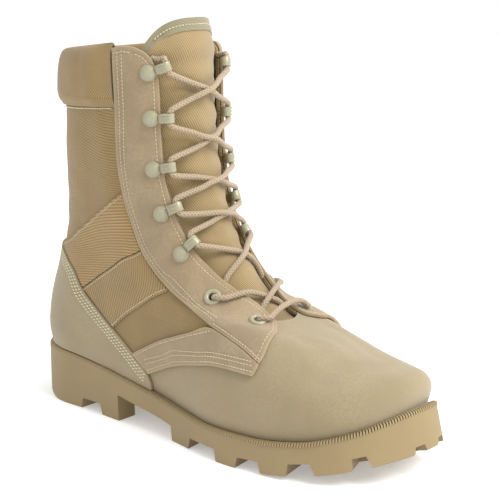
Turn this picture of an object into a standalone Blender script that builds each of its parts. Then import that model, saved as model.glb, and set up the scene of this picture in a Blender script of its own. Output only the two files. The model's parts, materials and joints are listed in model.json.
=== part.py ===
"""Jungle boot for the right foot: leather and cloth upper on a lugged rubber sole.

The tables are in millimetres. x runs from the back of the heel to the toe, y to the
inner side of the foot and z up from the floor. Every mesh is then placed with its
origin under the middle of the heel, in metres.

The upper is one function of (u, v): u runs once around the foot, from the middle of
the heel by the outer side to the toe and back by the inner side, and v runs from
the line where the upper meets the sole (0) to the collar (1).
"""
import math

import bmesh
import bpy
import numpy as np
from mathutils import Matrix, Vector

MM = 0.001
SOLE_LENGTH = 305.0
HEEL_CENTRE = 40.0
UPPER_WALL = 2.4
LEATHER = 1.9
CLOTH = 0.9
SEAT = 0.45
FACING_SEAT = 0.65
EDGE_GAP = 0.35
LUG_DEPTH = 7.5
LACE_RADIUS = 1.8
HOOK_REACH = 15.0

# One row per section of the upper: height v, back of the section, front of the section,
# half widths at heel, waist and ball, where heel and ball lie along it, roundness of the
# front, and how level the section lies (0 follows the sole, 1 is a plane).
SECTION_COLUMNS = ("v", "back_x", "back_z", "front_x", "front_z", "rear", "middle", "fore",
                   "rear_at", "fore_at", "round", "level")
SECTIONS = (
    (0.00, 4.0, 38.5, 299.5, 38.0, 34.5, 35.0, 48.0, 0.14, 0.68, 2.3, 0.0),
    (0.06, 2.5, 52.0, 302.0, 49.0, 36.0, 36.5, 50.5, 0.14, 0.68, 2.3, 0.0),
    (0.12, 4.0, 66.0, 298.0, 59.0, 36.0, 36.5, 48.5, 0.15, 0.68, 2.3, 0.1),
    (0.18, 7.0, 80.0, 286.0, 66.0, 34.5, 36.0, 44.0, 0.16, 0.68, 2.2, 0.35),
    (0.25, 11.0, 94.0, 266.0, 70.5, 32.5, 35.5, 38.5, 0.18, 0.68, 2.1, 0.7),
    (0.32, 14.5, 107.0, 241.0, 73.0, 31.5, 35.0, 34.5, 0.20, 0.68, 2.0, 1.0),
    (0.39, 17.5, 119.0, 215.0, 78.5, 31.0, 34.5, 32.0, 0.22, 0.68, 2.0, 1.0),
    (0.46, 20.0, 132.0, 190.0, 92.0, 31.5, 34.0, 31.0, 0.25, 0.68, 2.0, 1.0),
    (0.54, 22.0, 147.0, 169.0, 114.0, 33.5, 35.5, 32.0, 0.30, 0.66, 2.0, 1.0),
    (0.63, 24.0, 164.0, 154.5, 140.0, 36.0, 37.5, 34.5, 0.35, 0.64, 2.0, 1.0),
    (0.75, 26.5, 188.0, 145.0, 175.0, 39.0, 40.0, 38.0, 0.38, 0.62, 2.0, 1.0),
    (0.87, 30.5, 213.0, 142.0, 211.0, 40.5, 41.5, 40.5, 0.40, 0.60, 2.0, 1.0),
    (1.00, 34.0, 238.0, 141.0, 246.0, 40.5, 42.0, 42.0, 0.40, 0.60, 2.0, 1.0),
    (1.15, 35.5, 264.0, 141.0, 276.0, 40.5, 42.0, 42.0, 0.40, 0.60, 2.0, 1.0),
)
# Height of the sole's top edge, and the sideways swing of the foot's centre line.
SOLE_TOP = ((0, 39.0), (40, 37.5), (82, 33.5), (128, 26.5), (159, 22.0), (189, 19.5),
            (220, 19.5), (253, 22.5), (284, 31.0), (305, 41.5))
SWING = ((0, 0.0), (60, -1.0), (128, -3.5), (200, -2.0), (255, -1.0), (285, 2.0), (305, 8.0))

# Edge of the throat on the outer side: height v and place u around the foot.
THROAT_BASE = 0.40
THROAT_EDGE = ((0.00, 0.400), (0.30, 0.430), (0.40, 0.455), (0.43, 0.456), (0.46, 0.440),
               (0.50, 0.416), (0.56, 0.394), (0.67, 0.387), (0.79, 0.392), (0.92, 0.396),
               (0.955, 0.388), (0.985, 0.370), (1.00, 0.346))

# Seams as (u, v) points on the outer side.
COUNTER_TOP = ((0.0, 0.338), (0.045, 0.335), (0.09, 0.323), (0.124, 0.280), (0.141, 0.220),
               (0.164, 0.173), (0.185, 0.133), (0.205, 0.092), (0.2215, 0.052))
COUNTER_SIDE = 0.2240
WEB_TOP = ((0.060, 0.333), (0.105, 0.385), (0.146, 0.455), (0.200, 0.537), (0.251, 0.605),
           (0.284, 0.647))
WEB_BOTTOM = ((0.141, 0.220), (0.170, 0.295), (0.225, 0.422), (0.280, 0.497))
BAND_BOTTOM = ((0.184, 0.135), (0.205, 0.200), (0.239, 0.283), (0.289, 0.390))
QUARTER_TOP = ((0.205, 0.092), (0.224, 0.140), (0.249, 0.188), (0.278, 0.233), (0.312, 0.278),
               (0.324, 0.260), (0.336, 0.235), (0.346, 0.205))
QUARTER_BOTTOM = ((0.2225, 0.052), (0.239, 0.092), (0.256, 0.125), (0.278, 0.150),
                  (0.297, 0.165), (0.318, 0.168), (0.334, 0.168))
FACING_REAR = ((0.312, 0.278), (0.296, 0.323), (0.289, 0.398), (0.283, 0.450), (0.280, 0.497),
               (0.283, 0.570), (0.284, 0.635), (0.289, 0.703), (0.296, 0.790), (0.300, 0.863),
               (0.302, 1.000))
FACING_FRONT = ((0.346, 0.205), (0.375, 0.275), (0.426, 0.355), (0.451, 0.395), (0.456, 0.430),
                (0.440, 0.460), (0.416, 0.500), (0.394, 0.560), (0.387, 0.670), (0.392, 0.790),
                (0.396, 0.920), (0.388, 0.955), (0.370, 0.985), (0.346, 1.000))

# Places (u, v) of the five speed hooks, from the top, and of the two eyelets.
HOOKS = ((0.375, 0.938), (0.374, 0.835), (0.367, 0.723), (0.361, 0.620), (0.367, 0.530))
EYELETS = ((0.372, 0.432), (0.406, 0.375))

# Padded collar: how far out and how high each point of its section lies.
CUFF_SECTION = ((0.55, 0.845), (3.4, 0.848), (5.4, 0.870), (6.0, 0.920), (5.6, 0.970),
                (3.8, 1.008), (0.8, 1.024), (-2.4, 1.018), (-5.0, 0.985), (-5.4, 0.930),
                (-4.4, 0.890), (-2.95, 0.885), (-2.95, 1.004), (0.55, 1.004))
CUFF_END = 0.2975

# Side of the sole from the floor up: share of the flare, distance below the top edge
# (or above the floor for the two lowest rows) and how far in from the outline.
SOLE_FLARE = ((0, 0.4), (60, 0.0), (120, 0.3), (200, 1.6), (260, 3.2), (305, 4.4))
HEEL_BEVEL = ((0, 4.0), (14, 3.0), (30, 0.6), (305, 0.6))
SOLE_LIP = ((3.8, 0.5), (3.5, 0.0), (1.8, 0.0), (0.0, 1.6))

# Channels that cut the tread into lugs, on both sides of the sole: middle x and y,
# turn in degrees, length across, width at the floor and at the roof, depth.
SIDE_CHANNELS = (
    (68.5, 30.0, 0.0, 36.0, 23.0, 18.5, 7.5),
    (181.5, 42.0, -8.0, 42.0, 27.0, 23.0, 7.5),
    (220.5, 44.0, -8.0, 42.0, 19.5, 15.0, 7.0),
    (255.5, 42.0, -14.0, 42.0, 19.0, 14.0, 7.0),
    (286.0, 30.0, -24.0, 30.0, 12.0, 8.0, 6.5),
    (306.0, 10.0, -75.0, 14.0, 9.0, 7.0, 3.0),
)
LONG_CHANNELS = (
    (208.0, 17.0, 90.0, 92.0, 7.0, 5.0, 6.0),
)
MIDDLE_CHANNELS = (
    (165.0, 6.5, 25.0, 17.0, 7.0, 5.0, 6.0),
    (188.0, 6.5, 25.0, 17.0, 7.0, 5.0, 6.0),
    (236.0, 6.5, 25.0, 17.0, 7.0, 5.0, 6.0),
    (259.0, 6.5, 25.0, 17.0, 7.0, 5.0, 6.0),
)
ARCH = ((97.0, 18.0), (150.0, 9.8))
HEEL_RECESS = (62.0, 98.0, 27.0)


def smooth(at, table):
    """Read a two-column table at the given places, without overshooting its values."""
    places = np.array([row[0] for row in table], float)
    values = np.array([row[1] for row in table], float)
    step = np.diff(places)
    rise = np.diff(values) / step
    slope = np.zeros(len(values))
    same_way = rise[:-1] * rise[1:] > 0
    both = np.where(same_way, rise[:-1] + rise[1:], 1.0)
    slope[1:-1] = np.where(same_way, 2 * rise[:-1] * rise[1:] / both, 0.0)
    slope[0] = rise[0]
    slope[-1] = rise[-1]
    at = np.clip(np.asarray(at, float), places[0], places[-1])
    i = np.clip(np.searchsorted(places, at) - 1, 0, len(step) - 1)
    q = (at - places[i]) / step[i]
    start = (1 + 2 * q) * (1 - q) ** 2 * values[i] + q * (1 - q) ** 2 * step[i] * slope[i]
    end = q ** 2 * (3 - 2 * q) * values[i + 1] - q ** 2 * (1 - q) * step[i] * slope[i + 1]
    return start + end


def ease(q):
    """Go smoothly from 0 to 1."""
    q = np.clip(q, 0.0, 1.0)
    return q * q * (3 - 2 * q)


def sole_top(x):
    return smooth(x, SOLE_TOP)


def swing(x):
    return smooth(x, SWING)


def section(v):
    """Sizes of the upper's section at height v."""
    sizes = {}
    for i, name in enumerate(SECTION_COLUMNS):
        sizes[name] = smooth(v, [(row[0], row[i]) for row in SECTIONS])
    return sizes


def half_width(t, sizes):
    """Half width of a section at the fraction t of its length."""
    rear_at, fore_at = sizes["rear_at"], sizes["fore_at"]
    waist_at = (rear_at + fore_at) / 2
    back = np.clip(rear_at - t, 0, None) / rear_at
    rear = sizes["rear"] * np.sqrt(np.clip(1 - back ** 2, 0, 1))
    to_waist = ease((t - rear_at) / (waist_at - rear_at))
    to_ball = ease((t - waist_at) / (fore_at - waist_at))
    waist = sizes["rear"] + (sizes["middle"] - sizes["rear"]) * to_waist
    ball = sizes["middle"] + (sizes["fore"] - sizes["middle"]) * to_ball
    ahead = np.clip((t - fore_at) / (1 - fore_at), 0, 1)
    power = sizes["round"]
    toe = sizes["fore"] * np.clip(1 - ahead ** power, 0, 1) ** (1 / power)
    return np.where(t < rear_at, rear, np.where(t < waist_at, waist, np.where(t < fore_at, ball, toe)))


def last_point(u, v):
    """Point of the last's surface, in millimetres."""
    sizes = section(v)
    turn = 2 * math.pi * np.asarray(u, float)
    t = (1 - np.cos(turn)) / 2
    side = np.where(np.sin(turn) >= 0, -1.0, 1.0)
    x = sizes["back_x"] + (sizes["front_x"] - sizes["back_x"]) * t
    plane = sizes["back_z"] + (sizes["front_z"] - sizes["back_z"]) * t
    rise = plane - (38.5 - 0.5 * t)
    z = (sole_top(x) + rise) * (1 - sizes["level"]) + plane * sizes["level"]
    y = side * half_width(t, sizes) + swing(x) * np.clip(1 - 1.5 * v, 0, 1)
    return np.stack([x, y, z], axis=-1)


def upper_normal(u, v):
    """Outward direction of the upper's surface."""
    step = 0.003
    low = np.clip(v - step, 0, 1.15)
    high = np.clip(v + step, 0, 1.15)
    around = last_point(u + step, v) - last_point(u - step, v)
    up = last_point(u, high) - last_point(u, low)
    normal = np.cross(around, up)
    return normal / np.linalg.norm(normal, axis=-1, keepdims=True)


def upper_point(u, v, out=0.0):
    """Point at a distance outside the upper's surface, in millimetres."""
    u = np.asarray(u, float)
    v = np.asarray(v, float)
    out = np.asarray(out, float)[..., None]
    return last_point(u, v) + upper_normal(u, v) * out


def throat_edge(v):
    return smooth(v, THROAT_EDGE)


def place(points):
    """Millimetres from the heel's back to metres from the heel's centre."""
    points = np.asarray(points, float) - np.array([HEEL_CENTRE, 0.0, 0.0])
    return points * MM


def make_material(name, colour, roughness, metallic=0.0):
    material = bpy.data.materials.new(name)
    material.use_nodes = True
    shader = material.node_tree.nodes["Principled BSDF"]
    shader.inputs["Base Color"].default_value = (*colour, 1.0)
    shader.inputs["Roughness"].default_value = roughness
    shader.inputs["Metallic"].default_value = metallic
    return material


def add_object(name, mesh, material, collection):
    """Put a mesh in the scene as one smooth-shaded piece."""
    piece = bpy.data.objects.new(name, mesh)
    mesh.materials.append(material)
    mesh.shade_smooth()
    mesh.set_sharp_from_angle(angle=math.radians(35))
    collection.objects.link(piece)
    return piece


def mesh_from(name, points, faces):
    """Mesh from points in millimetres and faces; unused points are left out."""
    mesh = bpy.data.meshes.new(name)
    mesh.from_pydata([tuple(point) for point in place(points)], [], faces)
    shape = bmesh.new()
    shape.from_mesh(mesh)
    loose = [vert for vert in shape.verts if not vert.link_faces]
    bmesh.ops.delete(shape, geom=loose, context="VERTS")
    shape.to_mesh(mesh)
    shape.free()
    return mesh


def grid_faces(rows, columns, closed=False, flip=False, keep=lambda row, column: True):
    """Four-sided faces over a grid of points, rows upwards and columns around."""
    faces = []
    width = columns if closed else columns + 1
    for row in range(rows):
        for column in range(columns):
            if not keep(row, column):
                continue
            right = (column + 1) % width
            face = [row * width + column, row * width + right,
                    (row + 1) * width + right, (row + 1) * width + column]
            faces.append(face[::-1] if flip else face)
    return faces


def thicken(piece, thickness):
    """Solidify outwards for a positive thickness and inwards for a negative one."""
    modifier = piece.modifiers.new("Wall", "SOLIDIFY")
    modifier.thickness = abs(thickness) * MM
    modifier.offset = 1.0 if thickness > 0 else -1.0
    modifier.use_rim = True
    return modifier


def cut(piece, cutter):
    modifier = piece.modifiers.new("Cut " + cutter.name, "BOOLEAN")
    modifier.operation = "DIFFERENCE"
    modifier.object = cutter
    modifier.use_self = True
    return modifier


def build_upper(material, collection):
    """One hollow wall, open at collar, throat and underneath."""
    edges = np.concatenate([np.linspace(0, 0.26, 14), np.linspace(0.26, 0.40, 7)[1:],
                            np.linspace(0.40, 0.50, 5)[1:]])
    half = len(edges) - 1
    heights = np.concatenate([np.linspace(0, 0.12, 4), np.linspace(0.12, THROAT_BASE, 8)[1:],
                              np.linspace(THROAT_BASE, 1.0, 13)[1:]])
    points = []
    for v in heights:
        outer = np.interp(edges, [0, 0.26, 0.40, 0.50], [0, 0.26, throat_edge(v), 0.50])
        around = np.concatenate([outer, 1 - outer[-2:0:-1]])
        points.append(upper_point(around, np.full(len(around), v)))
    points = np.array(points)
    points[0, :, 2] += 0.3
    gap = range(half - 4, half + 4)

    def is_wall(row, column):
        return not (heights[row] >= THROAT_BASE - 1e-6 and column in gap)

    faces = grid_faces(len(heights) - 1, 2 * half, closed=True, keep=is_wall)
    mesh = mesh_from("upper", points.reshape(-1, 3), faces)
    piece = add_object("upper", mesh, material, collection)
    thicken(piece, -UPPER_WALL)
    return piece


def along(line, fractions):
    """Points at fractions of the length of a line of (u, v) points."""
    line = np.array(line, float)
    steps = np.hypot(np.diff(line[:, 0]) * 420, np.diff(line[:, 1]) * 215)
    distance = np.concatenate([[0], np.cumsum(steps)])
    length = distance[-1]
    distance = distance / length
    u = smooth(fractions, list(zip(distance, line[:, 0])))
    v = smooth(fractions, list(zip(distance, line[:, 1])))
    return np.stack([u, v], axis=-1)


def line_length(line):
    line = np.array(line, float)
    return np.sum(np.hypot(np.diff(line[:, 0]) * 420, np.diff(line[:, 1]) * 215))


def patch(bottom, top, rear, front, columns, rows):
    """Grid of (u, v) points between four edge lines that meet at their ends."""
    trim_a = EDGE_GAP / max(line_length(bottom), line_length(top))
    trim_b = EDGE_GAP / max(line_length(rear), line_length(front))
    a = np.linspace(trim_a, 1 - trim_a, columns + 1)
    b = np.linspace(trim_b, 1 - trim_b, rows + 1)
    low, high = along(bottom, a), along(top, a)
    back, fore = along(rear, b), along(front, b)
    a = a[None, :, None]
    b = b[:, None, None]
    corners = ((1 - a) * (1 - b) * np.array(bottom[0]) + a * (1 - b) * np.array(bottom[-1])
               + (1 - a) * b * np.array(top[0]) + a * b * np.array(top[-1]))
    return ((1 - b) * low[None] + b * high[None] + (1 - a) * back[:, None]
            + a * fore[:, None] - corners)


def add_overlay(name, grid, thickness, material, collection, inner_side=False, seat=SEAT):
    """A piece of even thickness that follows the upper's surface over a (u, v) grid."""
    u = 1 - grid[..., 0] if inner_side else grid[..., 0]
    points = upper_point(u, grid[..., 1], np.full(u.shape, seat))
    rows, columns = u.shape[0] - 1, u.shape[1] - 1
    faces = grid_faces(rows, columns, flip=inner_side)
    mesh = mesh_from(name, points.reshape(-1, 3), faces)
    piece = add_object(name, mesh, material, collection)
    thicken(piece, thickness)
    return piece


def build_counter(material, collection):
    half = np.append(np.linspace(0, 0.2215, 16), COUNTER_SIDE)
    u = np.concatenate([-half[:0:-1], half])
    top = smooth(np.abs(u), COUNTER_TOP + ((COUNTER_SIDE, 0.030),)) - 0.003
    low = 0.004
    rows = np.array([0.0, 0.12, 0.24, 0.38, 0.56, 0.78, 1.0])[:, None]
    grid = np.stack([np.broadcast_to(u, (len(rows), len(u))), low + (top - low)[None] * rows], axis=-1)
    return add_overlay("heel_counter", grid, LEATHER, material, collection)


def build_side_overlays(materials, collection):
    """Webbing, band, quarter and facing on both sides of the upper."""
    counter = list(COUNTER_TOP)
    web_rear = [(0.141, 0.220), (0.124, 0.280), (0.090, 0.323), (0.060, 0.333)]
    web_front = [(0.280, 0.497), (0.283, 0.570), (0.284, 0.647)]
    band_rear = [(0.184, 0.135), (0.164, 0.173), (0.141, 0.220)]
    band_front = [(0.289, 0.390), (0.283, 0.450), (0.280, 0.497)]
    quarter_rear = [(0.2225, 0.052), (0.205, 0.092)]
    quarter_front = [(0.334, 0.168), (0.346, 0.205)]
    facing_bottom = [(0.312, 0.278), (0.324, 0.260), (0.336, 0.235), (0.346, 0.205)]
    facing_top = [(0.302, 1.000), (0.346, 1.000)]
    pieces = (
        ("ankle_web", WEB_BOTTOM, WEB_TOP, web_rear, web_front, 16, 7, CLOTH, SEAT, "cloth"),
        ("ankle_band", BAND_BOTTOM, WEB_BOTTOM, band_rear, band_front, 10, 5, CLOTH, SEAT, "cloth"),
        ("quarter", QUARTER_BOTTOM, QUARTER_TOP, quarter_rear, quarter_front, 20, 4, LEATHER, FACING_SEAT, "suede"),
        ("facing", facing_bottom, facing_top, FACING_REAR, FACING_FRONT, 5, 32, LEATHER, FACING_SEAT,
         "suede"),
    )
    for side in ("outer", "inner"):
        for name, bottom, top, rear, front, columns, rows, thick, seat, finish in pieces:
            grid = patch(bottom, top, rear, front, columns, rows)
            add_overlay(f"{name}_{side}", grid, thick, materials[finish], collection,
                        side == "inner", seat)


def build_cuff(material, collection):
    """Padded collar over the top edge, from facing to facing round the back."""
    u = np.linspace(-CUFF_END, CUFF_END, 23)
    points = []
    for around in u:
        flat = 1 - 0.5 * ease((abs(around) - 0.24) / (CUFF_END - 0.24))
        for out, v in CUFF_SECTION:
            lift = 0.020 * min(1.0, abs(around) / CUFF_END) if v < 0.87 and out > 0 else 0.0
            points.append(upper_point(around, v + lift, out * flat if out > 1 else out))
    count = len(CUFF_SECTION)
    faces = []
    for i in range(len(u) - 1):
        for j in range(count):
            k = (j + 1) % count
            faces.append([i * count + j, (i + 1) * count + j, (i + 1) * count + k, i * count + k])
    last = (len(u) - 1) * count
    faces.append([j for j in range(count)])
    faces.append([last + j for j in reversed(range(count))])
    mesh = mesh_from("cuff", np.array(points), faces)
    return add_object("cuff", mesh, material, collection)


def tongue_shape(across, v):
    """Place and height of the tongue: across is -1 and 1 at its edges under the facings."""
    edge = throat_edge(np.minimum(v, 0.92))
    hidden = 0.036
    reach = 0.5 - edge + hidden
    u = 0.5 + across * reach
    inside = np.clip(np.abs(across) * reach / (reach - hidden), 0, 1)
    bulge = 3.6 * ease((v - 0.42) / 0.10)
    root = 0.8 * (1 - ease((v - 0.41) / 0.04))
    lean = 5.0 * ease((v - 0.93) / 0.17)
    out = -(UPPER_WALL + 0.45 + root + lean) + bulge * (1 - inside ** 2) ** 1.5
    return u, out


def tongue_top(across):
    return 1.081 - 0.080 * np.abs(across) ** 3.2


def build_tongue(material, binding, collection):
    across = np.linspace(-1, 1, 13)
    rise = np.linspace(0, 1, 18)
    root = 0.335
    tape = 0.030
    for name, low, high, rows, grow in (("tongue", 0.0, 1.0, rise, 0.0),
                                        ("tongue_binding", 1.0, 1.0, np.linspace(0, 1, 3), 0.8)):
        points = []
        for step in rows:
            top = tongue_top(across)
            if name == "tongue":
                v = root + (top - tape - root) * step
            else:
                v = top - tape + 0.0045 + (tape - 0.0045) * step
            u, out = tongue_shape(across, v)
            points.append(upper_point(u, v, out + grow * ease((0.72 - np.abs(across)) / 0.2)))
        points = np.array(points)
        faces = grid_faces(len(rows) - 1, len(across) - 1)
        mesh = mesh_from(name, points.reshape(-1, 3), faces)
        piece = add_object(name, mesh, material if name == "tongue" else binding, collection)
        thicken(piece, -(4.5 + 2 * grow))


def sole_outline(count, grow):
    """Points round the sole's planform, grow millimetres outside its outline."""
    turn = 2 * math.pi * np.arange(count) / count
    t = (1 - np.cos(turn)) / 2
    side = np.where(np.sin(turn) >= 0, -1.0, 1.0)
    sizes = {"rear": 38.5, "middle": 40.0, "fore": 53.0, "rear_at": 0.14, "fore_at": 0.68, "round": 2.2}
    x = SOLE_LENGTH * t
    width = half_width(t, sizes)
    shrink = np.cos(turn)
    return x - shrink * grow, side * (width + grow * np.abs(np.sin(turn))) + swing(x), x


def sole_bottom(x):
    """Height of the tread: flat, then the toe spring."""
    ahead = np.clip((x / SOLE_LENGTH - 0.68) / 0.32, 0, None)
    return 17.0 * ahead ** 2


def cap_faces(count, start, up):
    """Strips across the outline between points that face each other."""
    faces = []
    half = count // 2
    for i in range(half):
        left = [start + i, start + i + 1]
        right = [start + (count - i - 1) % count, start + (count - i) % count]
        face = [left[0], left[1], right[0], right[1]]
        face = list(dict.fromkeys(face))
        faces.append(face if up else face[::-1])
    return faces


def loft_outline(name, levels, count, material, collection):
    """Closed piece through outlines of count points, from the lowest level up."""
    points = np.array(levels).reshape(-1, 3)
    faces = grid_faces(len(levels) - 1, count, closed=True)
    faces += cap_faces(count, 0, up=False)
    faces += cap_faces(count, (len(levels) - 1) * count, up=True)
    mesh = mesh_from(name, points, faces)
    return add_object(name, mesh, material, collection)


def tapered_block(shape, x, y, turn, length, wide, narrow, depth, slope):
    """Cutter for a channel: wide at the floor, narrow at its roof."""
    made = bmesh.ops.create_cube(shape, size=1.0)
    below = 8.0
    for vert in made["verts"]:
        top = vert.co.z > 0
        share = narrow / wide if top else 1 + below * (1 - narrow / wide) / depth
        vert.co.x *= wide * share
        vert.co.y *= length
        vert.co.z = depth if top else -below
    spin = Matrix.Rotation(math.radians(turn), 4, "Z")
    tilt = Matrix.Rotation(-slope, 4, "Y")
    ground = Vector((x - HEEL_CENTRE, y, float(sole_bottom(x))))
    scale = Matrix.Scale(MM, 4)
    bmesh.ops.transform(shape, matrix=scale @ Matrix.Translation(ground) @ tilt @ spin, verts=made["verts"])


def add_cutter(name, shape, collection):
    mesh = bpy.data.meshes.new(name)
    bmesh.ops.recalc_face_normals(shape, faces=shape.faces)
    shape.to_mesh(mesh)
    shape.free()
    cutter = bpy.data.objects.new(name, mesh)
    cutter.hide_render = True
    cutter.display_type = "WIRE"
    collection.objects.link(cutter)
    return cutter


def channel_cutter(name, rows, collection):
    shape = bmesh.new()
    for x, y, turn, length, wide, narrow, depth in rows:
        slope = math.atan2(float(sole_bottom(x + 3) - sole_bottom(x - 3)), 6.0)
        for side in (-1, 1):
            middle = side * y + float(swing(x))
            tapered_block(shape, x, middle, side * turn, length, wide, narrow, depth, slope)
    return add_cutter(name, shape, collection)


def profile_cutter(name, outline, half, collection):
    """Cutter with an outline in x and z, cut across the sole."""
    shape = bmesh.new()
    sides = []
    for y in (-half, half):
        ring = [shape.verts.new(place((x, y, z))) for x, z in outline]
        sides.append(ring)
    shape.faces.new(sides[0])
    shape.faces.new(sides[1][::-1])
    for i in range(len(outline)):
        j = (i + 1) % len(outline)
        shape.faces.new((sides[0][i], sides[0][j], sides[1][j], sides[1][i]))
    return add_cutter(name, shape, collection)


def build_outsole(material, collection, cutters):
    count = 64
    levels = []
    flat, side, x = sole_outline(count, 0.0)
    flare = smooth(x, SOLE_FLARE)
    bevel = smooth(x, HEEL_BEVEL)
    for grow, z in ((flare - bevel, sole_bottom(x)), (flare, sole_bottom(x) + 1.2 * bevel)):
        level_x, level_y, _ = sole_outline(count, grow)
        levels.append(np.stack([level_x, level_y, z], axis=-1))
    for below, inward in SOLE_LIP:
        level_x, level_y, _ = sole_outline(count, -inward)
        levels.append(np.stack([level_x, level_y, sole_top(level_x) - below], axis=-1))
    sole = loft_outline("outsole", levels, count, material, collection)
    (heel_x, heel_z), (ball_x, ball_z) = ARCH
    arch = [(heel_x, -8.0), (heel_x, heel_z), (ball_x, ball_z), (ball_x + 2.5, -8.0)]
    cut(sole, profile_cutter("arch", arch, 80.0, cutters))
    start, end, half = HEEL_RECESS
    recess = [(start, -8.0), (start, LUG_DEPTH), (end, LUG_DEPTH + 1.8), (end, -8.0)]
    cut(sole, profile_cutter("heel_recess", recess, half, cutters))
    cut(sole, channel_cutter("side_channels", SIDE_CHANNELS, cutters))
    cut(sole, channel_cutter("long_channels", LONG_CHANNELS, cutters))
    cut(sole, channel_cutter("middle_channels", MIDDLE_CHANNELS, cutters))
    return sole


def build_insole(material, collection):
    """Footbed inside the upper's wall, on the sole."""
    count = 40
    u = np.arange(count) / count
    rim = upper_point(u, np.zeros(count), np.full(count, -(UPPER_WALL + 0.9)))
    low = rim.copy()
    low[:, 2] = sole_top(rim[:, 0]) + 0.3
    high = rim.copy()
    high[:, 2] = sole_top(rim[:, 0]) + 4.3
    middle = np.array([150.0, 0.0, 0.0])
    high[:, :2] += (middle - high)[:, :2] * 0.006
    return loft_outline("insole", [low, high], count, material, collection)


def surface_frame(u, v, out, inner_side):
    """Matrix of a fitting on the facing: X to the throat, Y along its edge, Z outwards."""
    step = 0.01
    edge_high = upper_point(throat_edge(v + step), v + step)
    edge_low = upper_point(throat_edge(v - step), v - step)
    centre = upper_point(u, v, out)
    z_axis = Vector(upper_normal(np.float64(u), np.float64(v)))
    along_edge = Vector(edge_high - edge_low)
    x_axis = along_edge.cross(z_axis).normalized()
    y_axis = z_axis.cross(x_axis)
    frame = Matrix((x_axis, y_axis, z_axis)).transposed().to_4x4()
    frame.translation = Vector(place(centre))
    if inner_side:
        mirror = Matrix.Scale(-1, 4, Vector((0, 1, 0)))
        shift = Matrix.Translation((0, 2 * MM * float(swing(centre[0])) * max(0.0, 1 - 1.5 * v), 0))
        frame = shift @ mirror @ frame @ Matrix.Scale(-1, 4, Vector((0, 1, 0)))
    return frame


def turned_mesh(name, profile, segments):
    """Mesh of a closed profile of (radius, height) points turned about Z."""
    shape = bmesh.new()
    rings = []
    for i in range(segments):
        angle = 2 * math.pi * i / segments
        ring = [shape.verts.new((radius * math.cos(angle) * MM, radius * math.sin(angle) * MM, height * MM))
                for radius, height in profile]
        rings.append(ring)
    count = len(profile)
    for i in range(segments):
        j = (i + 1) % segments
        for k in range(count):
            m = (k + 1) % count
            shape.faces.new((rings[i][k], rings[j][k], rings[j][m], rings[i][m]))
    bmesh.ops.remove_doubles(shape, verts=shape.verts, dist=1e-6)
    bmesh.ops.dissolve_degenerate(shape, edges=shape.edges, dist=1e-6)
    bmesh.ops.recalc_face_normals(shape, faces=shape.faces)
    mesh = bpy.data.meshes.new(name)
    shape.to_mesh(mesh)
    shape.free()
    return mesh


def hook_mesh():
    """Domed head and an arm that folds back on itself round the lace."""
    shape = bmesh.new()
    head = ((5.2, 0.0), (5.2, 0.9), (4.1, 2.0), (2.1, 2.7), (0.0, 2.9))
    segments = 10
    rings = []
    for radius, height in head[:-1]:
        rings.append([shape.verts.new((radius * math.cos(2 * math.pi * i / segments),
                                       radius * math.sin(2 * math.pi * i / segments), height))
                      for i in range(segments)])
    crown = shape.verts.new((0.0, 0.0, head[-1][1]))
    shape.faces.new(rings[0][::-1])
    for low, high in zip(rings, rings[1:]):
        for i in range(segments):
            j = (i + 1) % segments
            shape.faces.new((low[i], low[j], high[j], high[i]))
    for i in range(segments):
        shape.faces.new((rings[-1][i], rings[-1][(i + 1) % segments], crown))
    mesh = bpy.data.meshes.new("hook head")
    shape.to_mesh(mesh)
    shape.free()
    return mesh


def hook_arm_outline():
    """Side view of the arm: out over the lace, round the fold and back under it."""
    sheet = 1.0
    room = 2 * LACE_RADIUS + 1.0
    top = 3.3
    fold = room / 2
    middle = top - sheet - fold
    outer = [(2.0, 0.4), (4.6, 0.4), (7.0, top - sheet), (HOOK_REACH - fold - sheet, top - sheet)]
    inner_arc = [(HOOK_REACH - fold - sheet + fold * math.sin(a), middle + fold * math.cos(a))
                 for a in np.linspace(0, math.pi, 6)[1:]]
    back = [(9.0, middle - fold), (9.0, middle - fold - sheet)]
    outer_arc = [(HOOK_REACH - fold - sheet + (fold + sheet) * math.sin(a), middle + (fold + sheet) * math.cos(a))
                 for a in np.linspace(math.pi, 0, 6)]
    return outer + inner_arc + back + outer_arc + [(6.2, top), (3.4, 1.9), (2.0, 1.9)], middle


def arm_mesh():
    outline, _ = hook_arm_outline()
    shape = bmesh.new()
    half = 2.9
    sides = [[shape.verts.new((x, y, z)) for x, z in outline] for y in (-half, half)]
    shape.faces.new(sides[0][::-1])
    shape.faces.new(sides[1])
    for i in range(len(outline)):
        j = (i + 1) % len(outline)
        shape.faces.new((sides[0][i], sides[0][j], sides[1][j], sides[1][i]))
    bmesh.ops.recalc_face_normals(shape, faces=shape.faces)
    mesh = bpy.data.meshes.new("hook arm")
    shape.to_mesh(mesh)
    shape.free()
    return mesh


def joined(name, first, others):
    """Mesh of a Boolean union of meshes that overlap."""
    holder = bpy.data.objects.new(name, first)
    bpy.context.scene.collection.objects.link(holder)
    helpers = []
    for other in others:
        helper = bpy.data.objects.new("joined to " + name, other)
        bpy.context.scene.collection.objects.link(helper)
        helpers.append(helper)
        modifier = holder.modifiers.new("Join", "BOOLEAN")
        modifier.operation = "UNION"
        modifier.object = helper
    graph = bpy.context.evaluated_depsgraph_get()
    mesh = bpy.data.meshes.new_from_object(holder.evaluated_get(graph))
    for extra in [holder] + helpers:
        bpy.data.objects.remove(extra)
    mesh.name = name
    return mesh


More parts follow.
